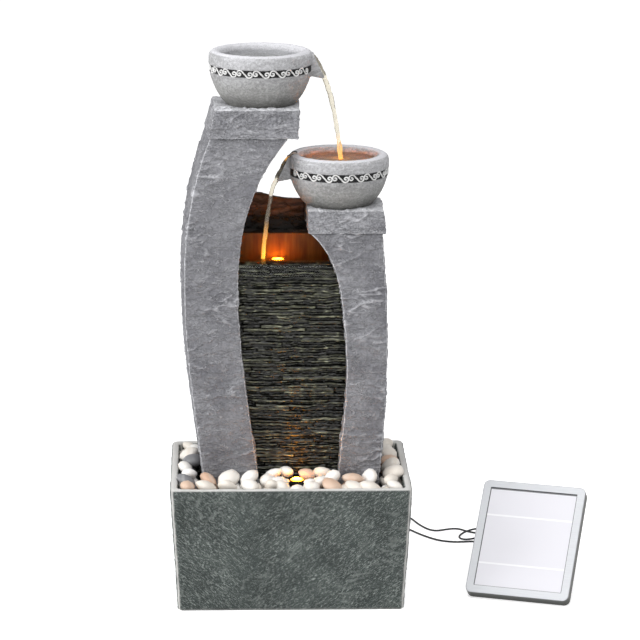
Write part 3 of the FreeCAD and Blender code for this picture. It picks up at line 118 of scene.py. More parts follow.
def feed(tree, socket, value):
    """Set a socket to a plain value, or link it to an output or to a node's first output."""
    if isinstance(value, bpy.types.Node):
        value = value.outputs[0]
    if isinstance(value, bpy.types.NodeSocket):
        tree.links.new(value, socket)
    else:
        socket.default_value = value


def connect(tree, node, **values):
    """Feed a node's inputs, named with underscores for spaces."""
    for name, value in values.items():
        feed(tree, node.inputs[name.replace("_", " ")], value)


def add(tree, kind, *inputs, stops=None, **values):
    """Add a node. Its inputs come in its own order or by their capital names, its settings by small names."""
    node = tree.nodes.new("ShaderNode" + kind)
    named = {name: value for name, value in values.items() if name[0].isupper()}
    for name, value in values.items():
        if name not in named:
            setattr(node, name, value)
    if stops:
        elements = node.color_ramp.elements
        while len(elements) < len(stops):
            elements.new(1.0)
        for element, (place, code) in zip(elements, stops):
            element.position = place
            element.color = linear(code)
    for socket, value in zip(node.inputs, inputs):
        feed(tree, socket, value)
    connect(tree, node, **named)
    return node


def start_finish(name, **values):
    """A new material, its tree, its shader with plain values set, and the Object coordinates."""
    finish = bpy.data.materials.new(name)
    finish.use_nodes = True
    tree = finish.node_tree
    shader = tree.nodes["Principled BSDF"]
    connect(tree, shader, **values)
    place = add(tree, "TexCoord").outputs["Object"]
    return finish, tree, shader, place

# %% [markdown]
# ## The two leads
# Black vinyl leads, 3 mm thick and limp. Each leaves a rubber boot in the trough's rear wall, drops to the
# floor, is wound into a tied coil behind the trough, and runs on to the back of the solar panel. A cord is
# one smooth line, so each is a single spline whose control points are the places where it was laid. The
# coil's turns come from a loop: they spiral in on the floor and out again one layer higher.

# %% Route helpers
LEAD = 3.0
FLOOR_GAP = 0.05
LEAD_LIE = LEAD / 2 + FLOOR_GAP
LEAD_PITCH = 3.5
COIL_RADIUS = 17.0
COIL_TAIL = 21.0
COIL_STEPS = 24


def clamp(value, low=0.0, high=1.0):
    """A value kept between two ends."""
    return min(max(value, low), high)


def coil_point(centre, turns, angle):
    """Place on a coil that spirals in on the floor and out again one layer up."""
    layer = (turns - 0.5) * math.pi
    slope = LEAD_PITCH / (2 * math.pi)
    reversal = layer + math.pi / 2
    widest = COIL_RADIUS + LEAD_PITCH * (turns - 0.5) / 4
    radius = widest - slope * (reversal - abs(angle - reversal))
    share = clamp((angle - layer) / math.pi)
    height = LEAD_LIE + LEAD_PITCH * share * share * (3 - 2 * share)
    return Vector((centre[0] + radius * math.sin(angle), centre[1] + radius * math.cos(angle), height))


def coil_route(centre, turns):
    """Route points of a coil with its straight tails."""
    last = 2 * math.pi * turns
    count = turns * COIL_STEPS
    turn = [coil_point(centre, turns, last * step / count) for step in range(count + 1)]
    step_out = Vector((LEAD, 0, 0))
    enter, leave = turn[0] - step_out, turn[-1] + step_out
    tail = Vector((COIL_TAIL, 0, 0))
    return [enter - tail, enter] + turn + [leave, leave + tail]


def on_floor(rows):
    """Route points that lie on the floor."""
    return [Vector((x, y, LEAD_LIE)) for x, y in rows]

# %% Lay the leads
LEAD_OVER = 6.15
lamp_route = [Vector(point) for point in (
    (22, 138.87, 135.213), (22, 158.84, 134.13), (23, 173, 116), (25, 177, 84), (24, 179, 48), (25, 185, 18),
    (32, 199, LEAD_LIE))]
lamp_route += coil_route((80, 190), 9)
lamp_route += on_floor((
    (126, 222), (147, 243), (166, 260), (184, 261), (195, 248), (204, 233), (216, 216), (230, 200),
    (244, 191), (260, 187), (275, 188), (290, 190), (305, 180), (314, 160), (320, 132), (321, 98),
    (316, 66), (308, 38), (301, 12)))
lamp_route += [Vector(point) for point in (
    (296.588, -6.585, 7.84), (293.034, -17.333, 14.181), (289.479, -28.081, 24.022))]

pump_route = [Vector(point) for point in (
    (-22, 138.87, 135.213), (-22, 158.84, 134.13), (-23, 173, 116), (-25, 177, 84), (-24, 180, 48),
    (-25, 187, 18))]
pump_route += on_floor(((-26, 208), (-20, 238), (-4, 266), (20, 288)))
pump_route += coil_route((80, 276), 7)
pump_route += on_floor((
    (126, 305), (150, 316), (172, 326), (190, 322), (200, 307), (207, 283), (217, 260), (226, 247),
    (236, 243), (247, 248), (260, 254), (272, 252), (281, 241), (293, 232), (308, 225), (323, 227),
    (332, 238), (328, 251)))
pump_route += [Vector(point) for point in (
    (315, 252, 3.2), (302, 241, LEAD_OVER), (287, 233, LEAD_OVER), (275, 228, 2.8))]
pump_route += on_floor((
    (268, 216), (269, 203), (279, 198), (291, 205), (306, 209), (320, 198), (329, 176), (335, 146),
    (337, 110), (333, 76), (326, 43), (318, 13)))
pump_route += [Vector(point) for point in (
    (311.779, -11.608, 7.84), (308.225, -22.356, 14.181), (304.67, -33.104, 24.022))]

# Soft black vinyl: a satin sheen shows the lead's round section.
lead_vinyl, tree, shader, place = start_finish("black_vinyl_lead", Roughness=0.42)
mottle = add(tree, "TexNoise", Vector=place, Scale=every(18), Detail=4.0)
tone = add(tree, "ValToRGB", mottle, stops=((0.3, "#161618"), (0.7, "#232326")))
connect(tree, shader, Base_Color=tone)


def draw_line(name, places, radius, order, steps, round_steps):
    """A round line through places in mm, each given with its share of the radius."""
    curve = bpy.data.curves.new(name, "CURVE")
    curve.dimensions = "3D"
    curve.bevel_depth = radius * MM
    curve.bevel_resolution = round_steps
    curve.use_fill_caps = True
    spline = curve.splines.new("NURBS")
    spline.points.add(len(places) - 1)
    for point, (x, y, z, share) in zip(spline.points, places):
        point.co = (x * MM, y * MM, z * MM, 1.0)
        point.radius = share
    spline.order_u = order
    spline.use_endpoint_u = True
    spline.resolution_u = steps
    piece = bpy.data.objects.new(name, curve)
    bpy.context.scene.collection.objects.link(piece)
    return piece


def lay_lead(name, route, nodes):
    """One lead as a spline through its route, in place of its rigid stand-ins."""
    piece = draw_line(name, [(*spot, 1.0) for spot in route], LEAD / 2, order=3, steps=4, round_steps=3)
    piece.data.materials.append(lead_vinyl)
    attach(piece, BODY)
    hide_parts(*nodes)
    print(name, len(route), "points")


lay_lead("lamp_lead", lamp_route, ("lamp_lead_start", "lamp_lead_coil", "lamp_lead_run"))
lay_lead("pump_lead", pump_route, ("pump_lead_start", "pump_lead_coil", "pump_lead_run"))

# %% [markdown]
# ## The studio
# The object was photographed on plain white. A large pale floor carries the soft shadow, and to the camera
# it is as bright as paper. The light is soft: an even pale sky, a wide lamp on the left, and another
# overhead that brings out the level ridges of the stone.

# %% Floor and light
FLOOR_SIZE = 60.0
FLOOR_GLOW = 0.62
bpy.ops.mesh.primitive_plane_add(size=FLOOR_SIZE, location=(0, 0, 0))
floor = bpy.context.object
floor.name = "studio_floor"

# Matt white paper: bright to the eye, with only a faint shadow under the trough.
paper, tree, shader, place = start_finish("white_paper", Roughness=0.9, Specular_IOR_Level=0.0,
                                          Base_Color=linear("#f4f4f4"))
seen = add(tree, "LightPath")
glow = add(tree, "Emission", Color=linear("#ffffff"), Strength=FLOOR_GLOW)
lit = add(tree, "AddShader", shader.outputs["BSDF"], glow)
looked_at = add(tree, "Math", seen.outputs["Is Camera Ray"], seen.outputs["Is Transmission Ray"],
                operation="MAXIMUM")
shown = add(tree, "Math", looked_at, seen.outputs["Is Glossy Ray"], operation="MAXIMUM")
pick = add(tree, "MixShader", shown, shader.outputs["BSDF"], lit)
connect(tree, tree.nodes["Material Output"], Surface=pick)
floor.data.materials.append(paper)

SKY_STRENGTH = 0.5
LIGHT_AIM = Vector((0, 0, 0.4))
SOFT_LIGHTS = (("key_light", (-3.0, -0.9, 1.5), 1.6, 62.0), ("top_light", (-0.1, -1.3, 2.4), 2.0, 38.0))
world = bpy.data.worlds.new("studio_sky")
world.use_nodes = True
world.node_tree.nodes["Background"].inputs["Color"].default_value = linear("#ffffff")
world.node_tree.nodes["Background"].inputs["Strength"].default_value = SKY_STRENGTH
bpy.context.scene.world = world
for name, spot, size, power in SOFT_LIGHTS:
    bulb = bpy.data.lights.new(name, "AREA")
    bulb.energy = power
    bulb.size = size
    lamp = bpy.data.objects.new(name, bulb)
    lamp.location = spot
    lamp.rotation_euler = (LIGHT_AIM - Vector(spot)).to_track_quat("-Z", "Y").to_euler()
    bpy.context.scene.collection.objects.link(lamp)
bpy.context.scene.view_settings.view_transform = "Standard"
print("studio ready")

# %% [markdown]
# ## Working on copies
# The stone pieces are cast in polyresin from moulds taken off real slate, so their faces are not smooth.
# Each is remade from a copy of its plain shape: the copy is joined up, given an even skin of small faces,
# and its vertices are then pushed in and out as a sculptor would.

# %% Helpers for pieces
MERGE_GAP = 0.02


def select_only(piece):
    """Make one object the selected and active one."""
    bpy.ops.object.select_all(action="DESELECT")
    piece.select_set(True)
    bpy.context.view_layer.objects.active = piece


def own_copy(piece):
    """A copy of an object with a mesh of its own."""
    twin = piece.copy()
    twin.data = piece.data.copy()
    bpy.context.scene.collection.objects.link(twin)
    return twin


def edit_all(piece, operator, **options):
    """Run an edit-mode operator on the whole of a piece."""
    select_only(piece)
    bpy.ops.object.mode_set(mode="EDIT")
    bpy.ops.mesh.select_all(action="SELECT")
    operator(**options)
    bpy.ops.object.mode_set(mode="OBJECT")


def copy_node(name, node):
    """A joined-up copy of a rigid node's mesh, with its own data."""
    piece = own_copy(cad[node])
    piece.name = name
    piece.data.materials.clear()
    select_only(piece)
    bpy.ops.object.parent_clear(type="CLEAR_KEEP_TRANSFORM")
    bpy.ops.object.transform_apply(location=True, rotation=True, scale=True)
    edit_all(piece, bpy.ops.mesh.remove_doubles, threshold=MERGE_GAP * MM)
    return piece


def use_modifier(piece, kind, **settings):
    """Add a modifier, set it up and apply it."""
    select_only(piece)
    modifier = piece.modifiers.new(kind.lower(), kind)
    for name, value in settings.items():
        setattr(modifier, name, value)
    bpy.ops.object.modifier_apply(modifier=modifier.name)


def settle(piece, material, slot, *nodes, angle=180):
    """Finish a piece: its material, its shading, and the rigid nodes that it stands in for. Its slot is not
    used.
    """
    select_only(piece)
    bpy.ops.object.shade_smooth_by_angle(angle=math.radians(angle))
    piece.data.materials.clear()
    piece.data.materials.append(material)
    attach(piece, BODY)
    if nodes:
        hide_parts(*nodes)
    print(piece.name, len(piece.data.polygons), "faces")


def join(pieces, name):
    """Join pieces into one, under a name."""
    select_only(pieces[0])
    for piece in pieces:
        piece.select_set(True)
    bpy.ops.object.join()
    pieces[0].name = name
    return pieces[0]


def carve(piece, push, **marks):
    """Push each vertex along its normal by push(place, normal), in mm, and store marks for the finish."""
    mesh = piece.data
    spots = [(vertex.co / MM, vertex.normal.copy()) for vertex in mesh.vertices]
    for name, mark in marks.items():
        layer = mesh.attributes.new(name, "FLOAT", "POINT")
        layer.data.foreach_set("value", [mark(*spot) for spot in spots])
    for vertex, (spot, normal) in zip(mesh.vertices, spots):
        vertex.co += normal * (push(spot, normal) * MM)
    mesh.update()

# %% [markdown]
# ## Cast slate
# Pillars, caps and rear panel are the same grey casting: dragged, wavy ridges that run mostly level, as if
# a trowel had been pulled over wet plaster. The painter finished it with a dry brush, so ridges and corners
# are paler than the hollows. The ridges are carved as real relief here, and two marks stay on the vertices
# for the paint: how high a place is, and how near a corner.

# %% The slate's relief
BENDS = ((9.0, 38.0), (3.0, 13.0))
LONG_RIDGES = (75, 17, 7.0)
SHORT_RIDGES = (48, 11, 6.0)
SHORT_SHIFT = Vector((400, 0, 90))
RIDGE_HEIGHT = 3.7
RIDGE_SINK = 1.1
SLOW_WAVE = 0.9
SLOW_SIZE = 55.0
CORNER_CALM = 0.65


def ridge(spot, long, tall, thin):
    """Share of a thin raised line where stretched noise crosses zero."""
    value = noise((spot.x / long, spot.y / long, spot.z / tall))
    return max(0.0, 1 - abs(value) * thin) ** 2


def drag(spot):
    """A place bent a little, so that level lines become wavy."""
    return spot + Vector((0, 0, sum(amount * noise(spot / size) for amount, size in BENDS)))


def slate_height(spot):
    """Height of the dragged slate, from 0 in the hollows to 1 on the ridges."""
    bent = drag(spot)
    patch = clamp(0.55 + noise(spot / 60), 0.12)
    lines = max(ridge(bent, *LONG_RIDGES), 0.8 * ridge(bent + SHORT_SHIFT, *SHORT_RIDGES))
    return min(1.0, 0.22 + 0.2 * noise(spot / 9) + 0.8 * patch * lines)


def slate_relief(spot, normal):
    """Slate relief in mm: slow waves with the ridges on them, calmer at the corners."""
    calm = 1 - CORNER_CALM * corner_mark(spot, normal)
    return calm * (SLOW_WAVE * noise(spot / SLOW_SIZE) + RIDGE_HEIGHT * slate_height(spot) - RIDGE_SINK)


def slate_mark(spot, normal):
    """Paint mark for the slate's height."""
    return slate_height(spot)


def corner_mark(spot, normal):
    """Paint mark for corners: 1 where the normal points between two of the block's faces."""
    return clamp((0.9 - max(abs(part) for part in normal)) / 0.15)


def cap_corner_and_top_light_mark(spot, normal):
    """Paint mark for a cap's worn corners, a painted highlight on its top where the light falls from above,
    and a lighter paint on its sides.
    """
    return max(corner_mark(spot, normal), 1.0 if normal.z > 0.85 else 0.37)


def front_corner_mark(spot, normal):
    """Paint mark for the edges round the front and back of a curved pillar."""
    return clamp((4 * normal.y ** 2 * (1 - normal.y ** 2) - 0.45) / 0.4)

# %% Slate paint
def stone_finish(name, stops, crest, edge, grain, roughness, drag_depth):
    """Painted stone: mottled tones, pale ridges and corners, fine drag lines and a grain."""
    finish, tree, shader, place = start_finish(name, Roughness=roughness, Specular_IOR_Level=0.3)
    broad = add(tree, "TexNoise", Vector=place, Scale=every(48), Detail=7.0, Roughness=0.62)
    tone = add(tree, "ValToRGB", broad, stops=stops)
    fine = add(tree, "TexNoise", Vector=place, Scale=every(grain), Detail=5.0, Roughness=0.7)
    speck = add(tree, "ValToRGB", fine, stops=((0.28, "#8c8c8c"), (0.72, "#ffffff")))
    dusty = add(tree, "MixRGB", 0.75, tone, speck, blend_type="MULTIPLY")
    height = add(tree, "Attribute", attribute_name="relief")
    pulled = add(tree, "Mapping", Vector=place, Scale=(every(26), every(26), every(9)))
    trowel = add(tree, "TexNoise", Vector=pulled, Scale=1.0, Detail=4.0, Roughness=0.55, Distortion=0.9)
    middle = add(tree, "Math", trowel, 0.5, operation="SUBTRACT")
    away = add(tree, "Math", middle, operation="ABSOLUTE")
    line = add(tree, "MapRange", away, 0.0, 0.04, 1.0, 0.0)
    high = add(tree, "MapRange", height.outputs["Fac"], 0.45, 1.0, 0.0, 0.8)
    ridged = add(tree, "Math", line, 0.55, high, operation="MULTIPLY_ADD")
    brushed = add(tree, "MixRGB", ridged, dusty, linear(crest))
    # The edge mark paints worn corners pale, and on the caps also a painted highlight on their tops.
    corner = add(tree, "Attribute", attribute_name="edge")
    worn = add(tree, "Math", corner.outputs["Fac"], fine, operation="MULTIPLY")
    share = add(tree, "MapRange", worn, 0.15, 0.5, 0.0, 0.85)
    painted = add(tree, "MixRGB", share, brushed, linear(edge))
    waves = add(tree, "Bump", Strength=0.8, Distance=drag_depth * MM, Height=line)
    bump = add(tree, "Bump", Strength=0.9, Distance=0.7 * MM, Height=fine, Normal=waves)
    connect(tree, shader, Base_Color=painted, Normal=bump)
    return finish, tree, shader, painted


# Dry-brushed grey slate: a dull blue-grey with chalky ridges and light worn corners.
SLATE_TONES = ((0.3, "#77777d"), (0.5, "#8f8f94"), (0.7, "#a4a4a9"))
SLATE_BRUSH = {"crest": "#c6c6cb", "edge": "#dcdde1", "grain": 3.0, "roughness": 0.78}
cast_slate = stone_finish("cast_slate_polyresin", SLATE_TONES, drag_depth=2.6, **SLATE_BRUSH)[0]

# %% [markdown]
# ## Pillars and caps
# Each copy gets an even skin of small squares, fine enough for the relief. The pillars are hollow, and
# nobody sees inside, so a pillar's copy then keeps only its outer skin: a face whose outward ray meets the
# pillar again is an inner one. The holes that this leaves are closed, and the relief is carved last.

# %% Carve the slate pieces
PILLAR_SKIN = 1.9
CAP_SKIN = 1.6
HOLLOW_REACH = 125.0
RAY_GAP = 0.05


def drop_inner_faces(piece, reach):
    """Delete faces that look at another face of the same piece within a reach in mm, and close the holes."""
    hidden = []
    for face in piece.data.polygons:
        start = face.center + face.normal * RAY_GAP * MM
        hidden.append(piece.ray_cast(start, face.normal, distance=reach * MM)[0])
    edit_all(piece, bpy.ops.mesh.select_all, action="DESELECT")
    piece.data.polygons.foreach_set("select", hidden)
    bpy.ops.object.mode_set(mode="EDIT")
    bpy.ops.mesh.delete(type="FACE")
    bpy.ops.mesh.select_all(action="SELECT")
    bpy.ops.mesh.fill_holes(sides=0)
    bpy.ops.object.mode_set(mode="OBJECT")


for node in ("left_pillar", "right_pillar", "left_cap", "right_cap"):
    is_pillar = node.endswith("pillar")
    # Caps take a painted highlight on their tops through their edge mark.
    skin, edges = (PILLAR_SKIN, front_corner_mark) if is_pillar else (CAP_SKIN, cap_corner_and_top_light_mark)
    block = copy_node(node + "_stone", node)
    use_modifier(block, "REMESH", mode="VOXEL", voxel_size=skin * MM)
    if is_pillar:
        drop_inner_faces(block, HOLLOW_REACH)
    carve(block, slate_relief, relief=slate_mark, edge=edges)
    settle(block, cast_slate, "cast_slate", node)

# %% [markdown]
# ## The trough
# The trough is the same casting painted darker and greener, and tooled with short swirling strokes. They
# lean one way on the left and the other way on the right, and the painter's brush caught only their crests.
# The larger strokes are carved: stretched noise, turned by an angle that drifts along the wall. The
# hair-fine ones between them are drawn in the finish in the same way.

# %% Carve the trough
LEFT_LEAN = 42
RIGHT_LEAN = -38
LEAN_TURNS_AT = -60.0
LEAN_FADE = 30.0
STROKE_LONG = 17.0
STROKE_WIDE = 5.2
STROKE_HEIGHT = 1.1
WALL_WAVE = 0.7
RIM_FROM = 170.0
TROUGH_SKIN = 2.5
HAIR_SIZE = Vector((7.0, 7.0, 1.4))


def stroke_height(spot):
    """Height of the tooled strokes, from 0 to 1, on walls unrolled into one band."""
    along = spot.x + spot.y
    lean = math.radians(RIGHT_LEAN if spot.x > LEAN_TURNS_AT else LEFT_LEAN) + 1.1 * noise(spot / 55)
    run = along * math.cos(lean) + spot.z * math.sin(lean)
    cross = spot.z * math.cos(lean) - along * math.sin(lean)
    value = noise((run / STROKE_LONG, cross / STROKE_WIDE, 4)) + 0.35 * noise(spot / 5)
    return clamp(0.35 + value)


def trough_relief(spot, normal):
    """Uneven cast walls with tooled strokes, in mm, and a flat underside."""
    if normal.z < -0.5:
        return 0.0
    return WALL_WAVE * noise(spot / 45) + STROKE_HEIGHT * stroke_height(spot) * (abs(normal.z) < 0.5)


def trough_mark(spot, normal):
    """Paint mark: the crests of the strokes, stronger in some patches."""
    return stroke_height(spot) * clamp(0.62 + 0.7 * noise(spot / 60), 0.25)


def rim_mark(spot, normal):
    """Paint mark for the trough's rim and corners."""
    rim = 1.0 if normal.z > 0.6 and spot.z > RIM_FROM else 0.0
    return max(rim, corner_mark(spot, normal))


# Chiselled dark slate: greenish charcoal with pale strokes, and a rim brushed almost white.
trough_slate, tree, shader, place = start_finish("chiselled_slate_polyresin", Roughness=0.72,
                                                 Specular_IOR_Level=0.3)
broad = add(tree, "TexNoise", Vector=place, Scale=every(60), Detail=6.0, Roughness=0.6)
tone = add(tree, "ValToRGB", broad, stops=((0.3, "#343a38"), (0.5, "#424947"), (0.7, "#4f5754")))
strokes = []
for lean in (RIGHT_LEAN, LEFT_LEAN):
    turned = add(tree, "Mapping", Vector=place, Rotation=(0, math.radians(lean), 0), Scale=HAIR_SIZE * MM,
                 vector_type="TEXTURE")
    strokes.append(add(tree, "TexNoise", Vector=turned, Scale=1.0, Detail=3.0, Distortion=1.8))
across = add(tree, "SeparateXYZ", place)
fade = [(LEAN_TURNS_AT + way * LEAN_FADE) * MM for way in (-1, 1)]
side = add(tree, "MapRange", across.outputs["X"], *fade)
stroke = add(tree, "MixRGB", side, strokes[1], strokes[0])
hair = add(tree, "MapRange", stroke, 0.52, 0.64, 0.0, 0.9)
patch = add(tree, "MapRange", broad, 0.38, 0.6, 0.7)
worked = add(tree, "Math", hair, patch, operation="MULTIPLY")
crest = add(tree, "Attribute", attribute_name="relief")
high = add(tree, "MapRange", crest.outputs["Fac"], 0.35, 0.9, 0.0, 0.5)
fleck = add(tree, "Math", worked, high, operation="MAXIMUM")
chiselled = add(tree, "MixRGB", fleck, tone, linear("#a8afab"))
corner = add(tree, "Attribute", attribute_name="edge")
painted = add(tree, "MixRGB", corner.outputs["Fac"], chiselled, linear("#dddcd9"))
bump = add(tree, "Bump", Strength=1.0, Distance=2.2 * MM, Height=stroke)
connect(tree, shader, Base_Color=painted, Normal=bump)

tub = copy_node("trough_stone", "trough")
use_modifier(tub, "REMESH", mode="VOXEL", voxel_size=TROUGH_SKIN * MM)
carve(tub, trough_relief, relief=trough_mark, edge=rim_mark)
settle(tub, trough_slate, "cast_slate_dark", "trough")

# %% [markdown]
# ## The bowls
# The bowls are cast too, but sanded: a fine pitted skin like granite, darker and a little olive towards the
# foot and brushed pale at the rim. A groove round each is painted black. The lower bowl's chute is lined
# with a dark coat that keeps the water together.

# %% Carve the bowls
# The inside share paints fill light onto a bowl's inside wall: lighter in the top bowl, none in the lower.
TOP_BOWL = {"node": "top_bowl", "centre": Vector((-42.3, 6.0)), "base": 718.5, "rim": 794.5,
            "radius": 73.6, "band": (764.5, 775.5), "chute": 1, "inside": 0.8}
LOWER_BOWL = {"node": "lower_bowl", "centre": Vector((69.0, -4.0)), "base": 575.0, "rim": 648.0,
              "radius": 71.6, "band": (618.0, 629.0), "chute": -1, "inside": 0.0}
BAND_RECESS = 1.3
BOWL_SKIN = 1.25
PIT_SIZE = 3.2
LINING_HALF = 11.0
FLOOR_HIGH = 12.0
RIM_TALL = 2.5


def bowl_relief(spot, normal):
    """Pitted skin of a bowl, in mm."""
    return 0.35 * noise(spot / 14) + 0.4 * noise(spot / PIT_SIZE)


def bowl_mark(spot, normal):
    """Paint mark for a bowl's pits."""
    return 0.5 + 0.5 * noise(spot / PIT_SIZE)


# Pitted granite casting: grey with an olive foot, a pale rim, a painted fill light on the top bowl's inside
# wall, and a black groove and chute lining.
cast_granite, tree, shader, skin = stone_finish(
    "pitted_granite_polyresin", ((0.3, "#c2c2c3"), (0.5, "#d2d2d4"), (0.7, "#dfdfe2")), crest="#e0e0e3",
    edge="#e6e6ea", grain=1.5, roughness=0.85, drag_depth=0.2)
rise = add(tree, "Attribute", attribute_name="rise")
shade = add(tree, "ValToRGB", rise.outputs["Fac"],
            stops=((0.0, "#8b8a84"), (0.3, "#c6c6c2"), (0.62, "#d8d8d8"), (1.0, "#f2f2f3")))
toned = add(tree, "MixRGB", 1.0, skin, shade, blend_type="MULTIPLY")
band = add(tree, "Attribute", attribute_name="band")
grooved = add(tree, "MixRGB", band.outputs["Fac"], toned, linear("#1f1f20"))
connect(tree, shader, Base_Color=grooved)


def make_bowl(bowl):
    """A bowl's carved copy, with marks for its height, its groove and its chute's lining."""
    low, high = bowl["band"]

    def rise_mark(spot, normal):
        return clamp((spot.z - bowl["base"]) / (bowl["rim"] - bowl["base"]))

    def looks_out(spot, normal):
        return (spot.to_2d() - bowl["centre"]).dot(normal.to_2d())

    def band_mark(spot, normal):
        lined = (bowl["chute"] < 0 and spot.x < bowl["centre"].x - 0.82 * bowl["radius"]
                 and normal.z > 0.3 and abs(spot.y - bowl["centre"].y) < LINING_HALF)
        chute = (spot.x - bowl["centre"].x) * bowl["chute"] > 0.97 * bowl["radius"]
        grooved = low < spot.z < high and looks_out(spot, normal) > 0 and not chute
        return 1.0 if lined or grooved else 0.0

    # A pale brushed rim, and on the inside wall the painted fill light of the bowl's inside share.
    def brow_and_inner_light_mark(spot, normal):
        inside = looks_out(spot, normal) < 0 and spot.z > bowl["base"] + FLOOR_HIGH
        return 1.0 if spot.z > bowl["rim"] - RIM_TALL else inside * bowl["inside"]

    def groove_relief(spot, normal):
        return bowl_relief(spot, normal) * (1 - band_mark(spot, normal))

    piece = copy_node(bowl["node"] + "_stone", bowl["node"])
    use_modifier(piece, "REMESH", mode="VOXEL", voxel_size=BOWL_SKIN * MM)
    carve(piece, groove_relief, relief=bowl_mark, edge=brow_and_inner_light_mark, rise=rise_mark, band=band_mark)
    settle(piece, cast_granite, "cast_granite", bowl["node"])
    return piece


top_stone = make_bowl(TOP_BOWL)
lower_stone = make_bowl(LOWER_BOWL)

# %% [markdown]
# ## The scroll band
# A running scroll lies in each groove: a lying S with curled ends, nineteen to the round, left out at the
# chute. One S is drawn as a curve with a round section and turned into a mesh. Its copies are bent round the
# bowl: a vertex's place along the S becomes an angle, and a ray to the bowl's axis finds the groove's floor
# that it rests on.

# %% Make and wrap the scrolls
SCROLL_COUNT = 19
SCROLL_ROUND = 1.1
SCROLL_HALF = ((1.2, -0.6), (3.0, -3.8), (7.0, -5.6), (11.4, -3.4), (11.2, 1.8), (7.2, 2.8), (4.8, 0.2),
               (6.8, -2.2), (8.6, -0.8))
SCROLL_LIFT = 0.35
RAY_FROM = 110.0
CHUTE_SHARE = 0.93
scroll_line = [(-x, 0, -z, 1.0) for x, z in reversed(SCROLL_HALF)] + [(x, 0, z, 1.0) for x, z in SCROLL_HALF]

# Silver-brushed scroll: the dry brush left pale metal-grey paint on its crests.
scroll_paint, tree, shader, place = start_finish("silver_brushed_scroll", Roughness=0.5)
worn = add(tree, "TexNoise", Vector=place, Scale=every(5), Detail=4.0)
tone = add(tree, "ValToRGB", worn, stops=((0.3, "#b5b5b5"), (0.65, "#e6e6e5")))
connect(tree, shader, Base_Color=tone)

scroll = draw_line("scroll", scroll_line, SCROLL_ROUND, order=4, steps=5, round_steps=2)
select_only(scroll)
bpy.ops.object.convert(target="MESH")


def wrap_scrolls(name, bowl, stone):
    """Copies of the scroll round a bowl, each laid on the floor of the groove and joined to one piece."""
    centre = Vector((*bowl["centre"], sum(bowl["band"]) / 2))
    copies = []
    for number in range(SCROLL_COUNT):
        bearing = 2 * math.pi * number / SCROLL_COUNT - math.pi / 2
        if math.cos(bearing) * bowl["chute"] > CHUTE_SHARE:
            continue
        turn = own_copy(scroll)
        for vertex in turn.data.vertices:
            x, y, z = vertex.co / MM
            angle = bearing + x / (bowl["radius"] - BAND_RECESS)
            way = Vector((math.cos(angle), math.sin(angle), 0))
            level = centre + Vector((0, 0, z))
            groove = stone.ray_cast((level + way * RAY_FROM) * MM, -way)[1]
            wall = (groove / MM - level).length
            vertex.co = (level + way * (wall + SCROLL_LIFT - y)) * MM
        copies.append(turn)
    settle(join(copies, name), scroll_paint, "cast_granite")


wrap_scrolls("top_scrolls", TOP_BOWL, top_stone)
wrap_scrolls("lower_scrolls", LOWER_BOWL, lower_stone)
bpy.data.objects.remove(scroll)

# %% [markdown]
# ## The wet slate face
# Water runs down thin split slates laid in courses. No course is straight, stones stand out by different
# amounts, and each has a rounded, broken front. A grid, given a flat back by extruding it, is fitted
# between the pillars row by row, with few rows where pebbles bury it, and its front is pushed out stone by
# stone. A seed keeps the courses the same each time.

# %% Lay the courses
SLATE_LOW = 12.5
SLATE_HIGH = 492.5
SLATE_BACK = -24.0
SLATE_FRONT = -34.5
SLATE_COLUMNS = 76
SLATE_ROWS = 480
BURIED_HIGH = 165.0
BURIED_SHARE = 0.08
COURSE_TALL = (2.9, 5.8)
STONE_LONG = (34, 110)
STONE_OUT = (0.0, 3.4)
STONE_TILT = (-1.4, 1.4)
COURSE_FROM = -140.0
COURSE_TO = 120.0
COURSE_STAGGER = 40
COURSE_SPARE = 20
BREAK_WIDE = 1.6
SIDE_FROM = 150.0
chance = random.Random(7)
course_tops = [0.0]
course_stones = []
while course_tops[-1] < SLATE_HIGH + COURSE_SPARE:
    course_tops.append(course_tops[-1] + chance.uniform(*COURSE_TALL))
    stones = []
    end = COURSE_FROM + chance.uniform(0, COURSE_STAGGER)
    while end < COURSE_TO:
        stones.append((end, chance.uniform(*STONE_OUT), chance.uniform(*STONE_TILT)))
        end += chance.uniform(*STONE_LONG)
    course_stones.append(stones)


def slate_front(x, z):
    """How far the split slates stand out at a place, in mm, and a paint mark for their crests, where the
    finish paints pale olive that is partly a painted highlight.
    """
    bent = z + 3.0 * noise((x / 46, 0, z / 60)) + 1.1 * noise((x / 12, 4, z / 25))
    course = bisect.bisect_right(course_tops, max(bent, 0.0)) - 1
    share = (bent - course_tops[course]) / (course_tops[course + 1] - course_tops[course])
    out, tilt = [stone for stone in course_stones[course] if stone[0] <= x][-1][1:]
    breaks = min(abs(x - stone[0]) for stone in course_stones[course])
    belly = 1 - abs(2 * share - 1) ** 3
    strand = max(0.0, 1 - 3.2 * abs(noise((x / 17, 9, z / 2.6))))
    rough = noise((x / 7, 2, z / 3))
    joint = max(0, 1 - breaks / BREAK_WIDE)
    depth = out + tilt * (share - 0.5) + 1.8 * belly + 0.9 * strand + 0.5 * rough - 1.3 * joint
    return depth, clamp(0.16 * depth + 0.3 * strand - 0.25 * (1 - belly))


def slate_edges(z):
    """Left and right end of the slate at a height, found by rays from both sides."""
    ends = []
    for way in (1, -1):
        start = Vector((-way * SIDE_FROM, SLATE_BACK - 1, clamp(z, SLATE_LOW + 1, SLATE_HIGH - 1))) * MM
        ends.append(cad["slate_face"].ray_cast(start, Vector((way, 0, 0)))[1].x / MM)
    return ends


